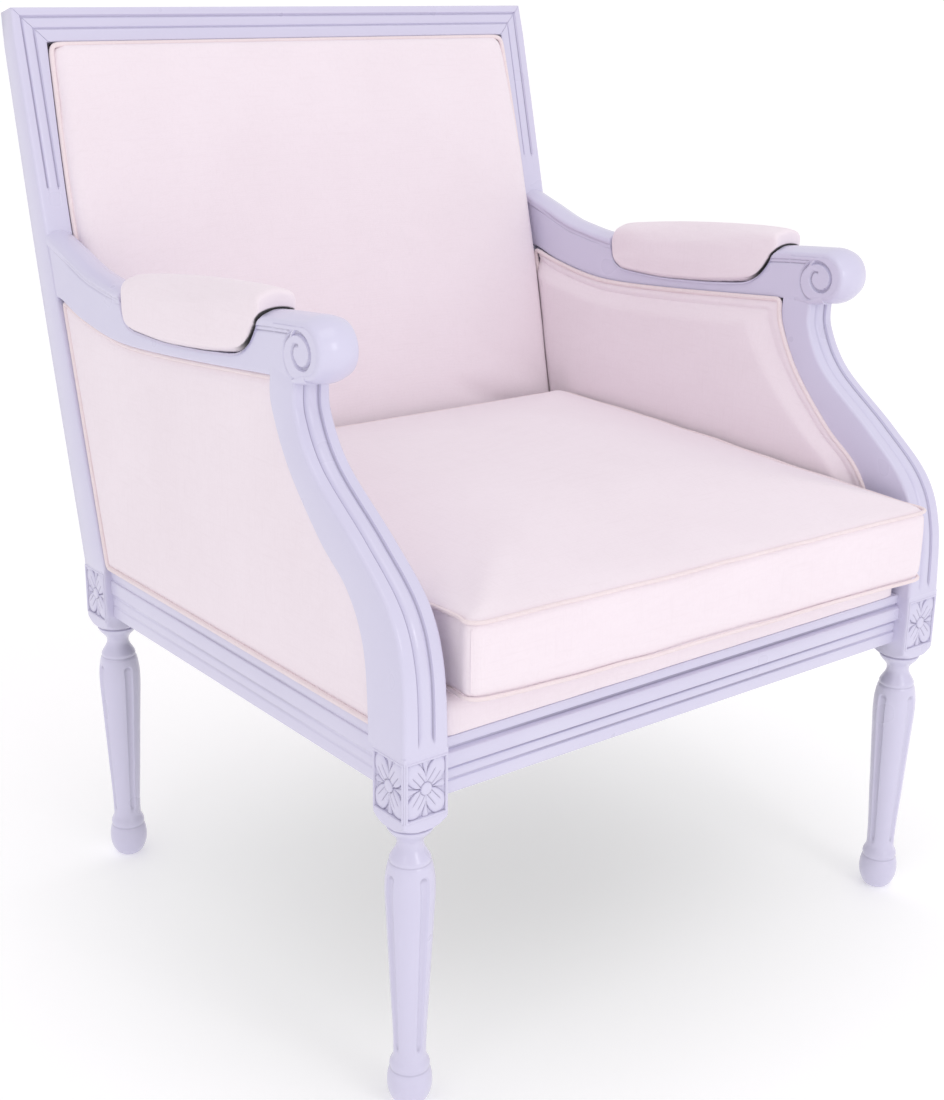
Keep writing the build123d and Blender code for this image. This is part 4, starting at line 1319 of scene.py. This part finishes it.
def openingGrid(name, inset, foot, forward, columns, rows, depth, lift=0.0):
    # a patch over the opening; depth(fromEdge, fromFrame, fromRear, y, z) gives x
    front, over, rear, base = sideOpening(inset, foot, forward, lift)

    def place(u, v):
        corners = (front(0), rear(0), front(1), rear(1))
        f, o, r, b = front(v), over(u), rear(v), base(u)
        y, z = (
            (1 - v) * b[k] + v * o[k] + (1 - u) * f[k] + u * r[k]
            - ((1 - u) * (1 - v) * corners[0][k] + u * (1 - v) * corners[1][k]
               + (1 - u) * v * corners[2][k] + u * v * corners[3][k])
            for k in (0, 1)
        )
        wide, high = r[0] - f[0], o[1] - b[1]
        fromEdge = min(u * wide, (1 - u) * wide, v * high, (1 - v) * high)
        fromFrame = min((1 - v) * high, u * wide)
        return at(depth(fromEdge, fromFrame, (1 - u) * wide, y, z), y, z)
    return drawGrid(name, columns, rows, place)


def makeOuterPanel(name):
    edge, full = sidePanels["outerX"]

    def depth(fromEdge, _, __, y, z):
        ripple = 0.35 * noise.noise(Vector((y / 90, z / 70, 1.0)))
        return edge + (full - edge) * (1 - exp(-fromEdge / 9)) + ripple * ease(fromEdge / 25)
    panel = openingGrid(name, sidePanels["insets"][0], sidePanels["footOuter"], 0, 110, 80, depth)
    return thicken(panel, sidePanels["thick"])


def makeInnerPad(name):
    edge, border, field = sidePanels["innerX"]

    def depth(fromEdge, fromFrame, fromRear, y, z):
        crease = sidePanels["border"]
        x = edge + (border - edge) * (1 - exp(-fromEdge / 3)) + armLean(y, z)
        x += (field - border) * ease((fromFrame - crease) / 26)
        x += 1.5 * exp(-((fromFrame - crease) / 2.2) ** 2) + sidePanels["rearTurn"] * exp(-fromRear / 16)
        pucker = noise.noise(Vector((y / 16, z / 16, 4.0))) * exp(-((fromFrame - crease) / 10) ** 2)
        return x + 0.5 * pucker + 0.7 * noise.noise(Vector((y / 80, z / 60, 7.0))) * ease(fromEdge / 30)
    pad = openingGrid(name, sidePanels["insets"][2], sidePanels["footInner"], sidePanels["forward"], 130, 100,
                      depth, sidePanels["innerLift"])
    return thicken(pad, sidePanels["thick"], 1)


def makeSideUpholstery():
    panel, pad = makeOuterPanel("outerSidePanelRight"), makeInnerPad("innerSidePadRight")
    settlePair(panel, "outerSidePanel", linen, "outer_side_panel")
    settlePair(pad, "innerSidePad", linen, "inner_side_pad")
    loop = openingLoop(sidePanels["insets"][1], sidePanels["footOuter"], 0, sidePanels["outerWeltX"])
    welt = drawCord("outerSidePipingRight", loop, weltRadius)
    settlePair(welt, "outerSidePiping", linenPiping, "outer_side_piping")
    loop = openingLoop(sidePanels["insets"][3], sidePanels["footInner"], sidePanels["forward"],
                       sidePanels["innerWeltX"], sidePanels["innerLift"])
    welt = drawCord("innerSidePipingRight", loop, weltRadius)
    settlePair(welt, "innerSidePiping", linenPiping, "inner_side_piping")


makeSideUpholstery()
print("sides upholstered")


# Arm pads

def padHang(y):
    # the sides of the pad's front end hang down over the rounded arm
    return armPad["hang"] * ramp(y, *armPad["hangRun"])


def makeArmPad(name):
    crownAt, halfAt = through(armPad["crown"]), through(armPad["half"])
    middle, radius, bulge = armPad["middle"], armPad["edgeRound"], armPad["bulge"]
    above, beside = armPad["room"]
    rings = []
    for y in steps(armPad["low"][0][0], armPad["low"][-1][0], 2):
        low, crown, half = padLow(y), crownAt(y) - above, halfAt(y) - beside
        sides = low - padHang(y)
        turn = min(radius, (crown - low) * 0.45)
        base = crown - bulge - turn
        arc = [(half - turn * (1 - cos(pi / 2 * k / 8)), base + turn * sin(pi / 2 * k / 8)) for k in range(9)]
        ring = [at(middle + x, y, z) for x, z in arc]
        for s in (0.66, 0.33, 0, -0.33, -0.66):
            ring.append(at(middle + (half - turn) * s, y, crown - bulge * s * s))
        ring += [at(middle - x, y, z) for x, z in reversed(arc)]
        ring += [at(middle - half, y, sides + (base - sides) * s) for s in (0.66, 0.33, 0.0)]
        belly = armPad["belly"] * ramp(y, *armPad["bellyRun"])
        for s in (-0.85, -0.7, 0, 0.7, 0.85):
            hollow = belly if abs(s) < 0.8 else 0
            ring.append(at(middle + half * s, y, low + (sides - low) * s * s - hollow))
        ring += [at(middle + half, y, sides + (base - sides) * s) for s in (0.0, 0.33, 0.66)]
        rings.append(ring)
    pad = loftRings(name, rings)
    puffUp(pad, *armPad["puff"], lambda x, y, z: 1 - ramp(z, padLow(y) + 1, 6))
    # painted shade: the underside of the front end is marked dark, standing in for the shadow in the gap over
    # the arm
    gapShadeMark = pad.data.attributes.new("gap_shade", "FLOAT", "POINT")
    for mark, vert in zip(gapShadeMark.data, pad.data.vertices):
        x, y, z = vert.co / mm
        drop = padHang(y) * clamp(abs(x - middle) / halfAt(y)) ** 2
        edge = padLow(y) - drop + armPad["gapShadeRise"]
        mark.value = ramp(y, *armPad["gapShadeRun"]) * ramp(z, edge, -0.8)
    return pad


settlePair(makeArmPad("armPadRight"), "armPad", linen, "arm_pad")
print("arm pads stuffed")


# Inside back: a crowned pad behind a welt

backPad = {
    "foot": 45.0,
    "head": 540.6,
    "inFromWood": 3.2,
    "rear": -9.0,
    "sections": [(0, 6, 4), (0.12, 15, 8), (0.4, 16, 11), (0.75, 12, 9), (0.96, 8, 4), (1, 4, 2)],
    "edge": 2.0,
    "shoulder": (12.0, 9.0),       # width and drop of the rounded border
    "puff": (6.0, 2.5, 5.0),       # size of the cloth's squares, pressure, furthest move
    "weltOut": 0.4,
}


def openingHalf(along):
    # half the clear width between the stiles
    return stileInner(along / backRise)


def makeBackPad(name):
    edgeAt = through([(s, e) for s, e, _ in backPad["sections"]])
    crownAt = through([(s, c) for s, _, c in backPad["sections"]])
    wide, drop = backPad["shoulder"]
    rings = []
    for along in steps(backPad["foot"], backPad["head"], 6):
        share = (along - backPad["foot"]) / (backPad["head"] - backPad["foot"])
        half = openingHalf(along) - backPad["inFromWood"]
        top = edgeAt(share) + backPad["edge"]
        ring = []
        for k in range(61):
            x = half * (1 - k / 30)
            turn = ease((half - abs(x)) / wide)
            crown = crownAt(share) * (1 - (abs(x) / half) ** 2.4)
            ring.append(backPoint(x, along, -top + drop * (1 - turn) - crown))
        ring += [backPoint(x, along, -backPad["rear"]) for x in (-half, 0, half)]
        rings.append(ring)
    pad = loftRings(name, rings)
    front = backFrame["foot"]

    def sewn(x, y, z):
        out = (front[0] - y) * cos(backLean) + (z - front[1]) * sin(backLean)
        along = (y - front[0]) * sin(backLean) + (z - front[1]) * cos(backLean)
        rim = min(openingHalf(along) - backPad["inFromWood"] - abs(x), backPad["head"] - along)
        return max(1 - ramp(out, -4, 6), 1 - ramp(rim, 3, 10))
    return puffUp(pad, *backPad["puff"], sewn)


def backWeltLoop():
    inset = weltRadius + 0.1
    high = backRise - backFrame["face"] - inset
    rise = steps(backPad["foot"], high, 2.5)
    half = openingHalf(high) - inset
    line = [(inset - openingHalf(along), along) for along in rise]
    line += [(x, high) for x in steps(-half, half, 2.5)[1:-1]]
    line += [(openingHalf(along) - inset, along) for along in reversed(rise)]
    points = [backPoint(x, along, -backPad["weltOut"]) for x, along in line]
    return softenLoop(points, 12, closed=False)


insideBack = makeBackPad("insideBackPad")
settle(insideBack, linen, ["inside_back_pad"])
backWelt = drawCord("insideBackPiping", backWeltLoop(), weltRadius, closed=False)
settle(backWelt, linenPiping, ["inside_back_piping"])
print("inside back padded")


# Outside back: a tight panel in the rear of the frame

outsideBack = {
    "foot": 0.4,
    "head": 534.0,
    "insets": (2.2, 2.2),          # of the panel and of the welt's line, from the wood
    "levels": (-4.2, -2.2),        # at the welt and in the middle, from the rear plane of the stiles
    "weltLevel": -3.2,
    "thick": 3.0,
}


def rearPoint(x, along, out):
    # as backPoint, on the rear face of the stiles; out is how far behind it
    dy, dz = (rearHead[0] - rearFoot[0]) / rearRise, (rearHead[1] - rearFoot[1]) / rearRise
    return at(x, rearFoot[0] + along * dy + out * dz, rearFoot[1] + along * dz - out * dy)


def rearHalf(along):
    return stileInner(along / rearRise)


def makeOutsideBack():
    inset, weltInset = outsideBack["insets"]
    low, high = outsideBack["foot"] + inset, outsideBack["head"] - inset
    edge, full = outsideBack["levels"]

    def place(u, v):
        along = low + (high - low) * v
        half = rearHalf(along) - inset
        x = half * (1 - 2 * u)
        fromEdge = min(half - abs(x), along - low, high - along)
        ripple = 0.4 * noise.noise(Vector((x / 110, along / 80, 2.0))) * ease(fromEdge / 30)
        return rearPoint(x, along, edge + (full - edge) * (1 - exp(-fromEdge / 10)) + ripple)
    panel = thicken(drawGrid("outsideBackPanel", 110, 100, place), outsideBack["thick"])
    settle(panel, linen, ["outside_back_panel"])
    low, high = outsideBack["foot"] + weltRadius, outsideBack["head"] - weltInset
    rise = steps(low, high, 3)     # the welt's line starts at the foot of the left side
    footHalf, headHalf = rearHalf(low) - weltInset, rearHalf(high) - weltInset
    loop = [(weltInset - rearHalf(along), along) for along in rise]
    loop += [(x, high) for x in steps(-headHalf, headHalf, 3)[1:-1]]
    loop += [(rearHalf(along) - weltInset, along) for along in reversed(rise)]
    loop += [(x, low) for x in steps(footHalf, -footHalf, 3)[1:-1]]
    points = [rearPoint(x, along, outsideBack["weltLevel"]) for x, along in loop]
    welt = drawCord("outsideBackPiping", softenLoop(points, 2), weltRadius)
    settle(welt, linenPiping, ["outside_back_piping"])


makeOutsideBack()
print("outside back covered")


# Seat deck with a rolled front edge, and the dust cover under the seat

seatDeck = {"half": 288.4, "front": -334.0, "rear": 190.0, "foot": 351.4, "lip": 348.2, "top": 385.6,
            "roll": 13.0, "endRound": (7.0, 4.0), "tucked": 1.6}


def makeDeck():
    roll, half = seatDeck["roll"], seatDeck["half"]
    wide, fall = seatDeck["endRound"]
    inside = seatDeck["front"] + seatDeck["tucked"]
    ends = [half - edge for edge in (6.9, 2.9, 0.8, 0)]
    rings = []
    for x in [-end for end in reversed(ends)] + steps(-275, 275, 12) + ends:
        drop = fall * (1 - sqrt(clamp((half - abs(x)) / wide)))
        wave = 0.8 * noise.noise(Vector((x / 45, 0.3, 5.0)))
        front = seatDeck["front"] + drop * 0.6 + wave
        top = seatDeck["top"] - drop
        ring = [at(x, inside, seatDeck["lip"]), at(x, front, seatDeck["lip"] + 0.2)]
        ring += [at(x, front - 0.9, seatDeck["lip"] + 5), at(x, front - 1.2, top - roll - 4)]
        for k in range(8):
            a = pi / 2 * k / 7
            ring.append(at(x, front - 0.9 + roll * (1 - cos(a)), top - roll * (1 - sin(a))))
        long = seatDeck["rear"] - seatDeck["front"]
        ring += [at(x, seatDeck["front"] + long * s, top) for s in (0.3, 0.6, 0.9)]
        ring += [at(x, seatDeck["rear"], top - 3), at(x, seatDeck["rear"], seatDeck["foot"])]
        ring.append(at(x, inside, seatDeck["foot"]))
        rings.append(ring)
    deck = loftRings("seatDeck", rings, 50)
    settle(deck, linen, ["seat_deck"])


dustCover = {"half": 314.0, "front": -326.0, "rear": 233.0, "level": 293.6, "sag": 5.0, "thick": 0.8,
             "notches": ((296.0, -302.5), (284.0, 206.0))}   # x and y of the corners cut out round the legs


def makeDustCover():
    half, front, rear = dustCover["half"], dustCover["front"], dustCover["rear"]
    (noseX, noseY), (tailX, tailY) = dustCover["notches"]

    def place(u, v):
        x, y = half * (2 * u - 1), front + (rear - front) * v
        fold = ease(min(half - abs(x), y - front, rear - y) / 60)
        pull = 0.6 * noise.noise(Vector((x / 60, y / 60, 9.0)))
        sag = dustCover["sag"] * u * (1 - u) * v * (1 - v) * 16
        return at(x, y, dustCover["level"] - sag + pull * fold)

    def atLeg(x, y, z):
        return (abs(x) > noseX and y < noseY) or (abs(x) > tailX and y > tailY)
    cover = drawGrid("dustCover", 108, 96, place)
    deleteFaces(cover, atLeg)
    thicken(cover, dustCover["thick"])
    settle(cover, dustCloth, ["dust_cover"])


makeDeck()
makeDustCover()
print("seat deck and dust cover on")


# Loose box cushion

cushionShape = {
    "half": 286.0,
    "front": -370.0,
    "rear": 190.0,
    "foot": 386.3,
    "top": 454.0,
    "corner": 15.0,
    "drawIn": 3.0,
    "crown": 23.0,
    "welt": 1.9,
    "inset": 2.4,
    "wide": (287.2, -371.0, 189.2),    # the room between the arms, the front and the back
    "puff": (6.0, 2.2, 7.0),           # size of the cloth's squares, pressure, furthest move
    "hang": (-338.0, -26.0),           # where the front starts to hang over the deck, and over what run
    "fore": (-250.0, -110.0),          # the same for the front of the top
    "rim": (250.0, 30.0),              # and for the uneven sides
    "frontFoot": [(-290, 1.5), (-190, -5.0), (-60, -8.0), (290, -9.0)],    # x and the front edge's rise
    "frontTop": [(-290, 5.0), (-190, 2.5), (-40, 0.0), (290, -1.5)],
    "rearTop": (12.0, 3.0),            # how far the top rises towards the back, how much less to the right
    "rearRun": (-330.0, 380.0),
    "ears": 0.014,                     # how much wider the front corners are
    "skew": 4.5,                       # how much further forward the right front corner is
    "wave": (1.1, 55.0, 90.0),         # height, length along the cushion and up its sides
    "cornerSeam": 0.7,
}
footMove, topMove = through(cushionShape["frontFoot"]), through(cushionShape["frontTop"])


def settleDown(place):
    # the loose cushion is soft: its front hangs over the deck, and its front corners stand unevenly
    x, y, z = place / mm
    shape = cushionShape
    up = ease((z - shape["foot"]) / (shape["top"] - shape["foot"]))
    over, fore = ramp(y, *shape["hang"]), ramp(y, *shape["fore"])
    height, long, tall = shape["wave"]
    wave = height * noise.noise(Vector((x / long, y / long, z / tall)))
    wave *= max(ramp(abs(x), *shape["rim"]), over)
    high, tilt = shape["rearTop"]
    rise = (high - tilt * x / shape["half"]) * ramp(y, *shape["rearRun"])
    z += footMove(x) * over * (1 - up) + (topMove(x) * fore + rise) * up + wave * max(up, over)
    return at(x * (1 + shape["ears"] * over), y - shape["skew"] * x / shape["half"] * over, z)


def cushionPlan(inset, perSide=30, perCorner=8):
    # plan of the cushion from its front right corner, with sides that draw in
    half = cushionShape["half"] - inset
    front, rear = cushionShape["front"] + inset, cushionShape["rear"] - inset
    radius = max(cushionShape["corner"] - inset * 0.4, 2.0)
    arcs = []
    for x, y, start in ((half, front, -pi / 2), (half, rear, 0.0), (-half, rear, pi / 2), (-half, front, pi)):
        cx, cy = x - radius * (1 if x > 0 else -1), y - radius * (1 if y > 0 else -1)
        turns = [start + pi / 2 * k / perCorner for k in range(perCorner + 1)]
        arcs.append([(cx + radius * cos(a), cy + radius * sin(a)) for a in turns])
    points = []
    for i, arc in enumerate(arcs):
        points += arc
        begin, end = arc[-1], arcs[(i + 1) % 4][0]
        out = pi / 2 * i                       # the side that follows a corner faces this way
        for k in range(1, perSide):
            s = k / perSide
            pull = cushionShape["drawIn"] * 4 * s * (1 - s)
            px, py = begin[0] + (end[0] - begin[0]) * s, begin[1] + (end[1] - begin[1]) * s
            points.append((px - pull * cos(out), py - pull * sin(out)))
    return points


def makeCushion():
    shape = cushionShape
    foot, top = shape["foot"], shape["top"]
    profile = [(30, foot), (9, foot), (4.6, foot + 1.2), (3.2, foot + 4), (2.6, foot + 14),
               (2.4, (foot + top) / 2), (2.6, top - 14), (3.2, top - 4), (4.6, top - 0.6)]
    for inset in (10, 20, 35, 55, 80, 120, 170, 230):
        share = clamp((inset - 4) / 240)
        profile.append((inset, top + shape["crown"] * (1 - (1 - share) ** 5) - 0.4))
    rings = [[at(x, y, z) for x, y in cushionPlan(inset)] for inset, z in profile]
    cover = loftRings("cushionCover", rings)

    def sewn(x, y, z):
        rim = min(shape["half"] - abs(x), y - shape["front"], shape["rear"] - y)
        seam = min(abs(z - top), abs(z - foot))
        held = (1 - ramp(seam, 2, 7)) * (1 - ramp(rim, 6, 8))
        return max(held, 1 - ramp(z, foot, 3))
    puffUp(cover, *shape["puff"], sewn)
    half, front, rear = shape["wide"]
    for vert in cover.data.vertices:
        x, y, z = vert.co / mm
        vert.co = at(clamp(x, -half, half), clamp(y, front, rear), max(z, foot - 0.15))
    seams = [cover]
    for x in (-1, 1):
        line = []
        for z in steps(foot + 5, top - 4, 3):
            aim = at(x * (shape["half"] + 6), shape["front"] - 6, z)
            line.append(cover.closest_point_on_mesh(aim)[1] + at(x * 0.1, -0.1, 0))
        line = softenLoop(line, 2, closed=False)
        seams.append(drawCord("cornerSeam", line, shape["cornerSeam"], closed=False))
    cover = joinPieces("cushionCover", seams)
    for vert in cover.data.vertices:
        vert.co = settleDown(vert.co)
    settle(cover, linen, ["cushion_cover"], "cushion")
    for name, node, z, wobble in (("cushionPipingTop", "cushion_piping_top", top - 1.8, 0.5),
                                  ("cushionPipingBottom", "cushion_piping_bottom", foot + 2.6, 0.9)):
        loop = [at(x, y, z) for x, y in cushionPlan(shape["inset"], 60, 6)]
        loop = spread(loop + loop[:1], 0.005)[:-1]
        for place in loop:
            place.z += abs(wobble * noise.noise(place * 14)) * mm
        welt = drawCord(name, [settleDown(place) for place in softenLoop(loop, 2)], shape["welt"])
        settle(welt, linenPiping, [node], "cushion")


zipShape = {"half": 190.0, "high": 22.0, "rear": 184.9, "middle": 420.0, "thick": 0.9, "teeth": 126,
            "tooth": (2.0, 1.0, 4.4), "slider": (11.0, 1.8, 8.0)}


def makeZip():
    half, rear, middle = zipShape["half"], zipShape["rear"], zipShape["middle"]

    def place(u, v):
        z = middle + zipShape["high"] * (v - 0.5)
        rise = 0.6 * (1 - ease(abs(z - middle) / 4)) + 0.12 * sin(v * 40)
        return at(half * (1 - 2 * u), rear + zipShape["thick"] + rise, z)
    parts = [thicken(drawGrid("cushionZip", 60, 22, place), zipShape["thick"])]
    tooth = drawBlock("zipTooth", zipShape["tooth"])
    for i in range(zipShape["teeth"]):
        share = (i + 0.5) / zipShape["teeth"]
        side = 0.6 if i % 2 else -0.6
        spot = Matrix.Translation(at(half * (2 * share - 1), rear + zipShape["thick"] + 0.8, middle + side))
        parts.append(copyPiece(tooth, "zipTooth", spot))
    bpy.data.objects.remove(tooth)
    slider = drawBlock("zipSlider", zipShape["slider"], (-half + 12, rear + 2.4, middle))
    applyModifier(slider, "BEVEL", width=0.8 * mm, segments=3)
    parts.append(slider)
    settle(joinPieces("cushionZip", parts), zipTape, ["cushion_zip"], "cushion")


makeCushion()
makeZip()
print("cushion filled")


# Hidden frame pieces keep their CAD shape and get their own finishes

hiddenFinish = (
    (bareWood, ("tacking_rail", "corner_block", "back_lower_rail", "frame_dowels")),
    (juteWebbing, ("seat_webbing", "back_webbing")),
    (foamCore, ("cushion_foam",)),
    (screwSteel, ("corner_screws",)),
)
for finish, starts in hiddenFinish:
    for name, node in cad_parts.items():
        if name.startswith(starts):
            node.data.materials.clear()
            node.data.materials.append(finish)
print("hidden pieces finished")
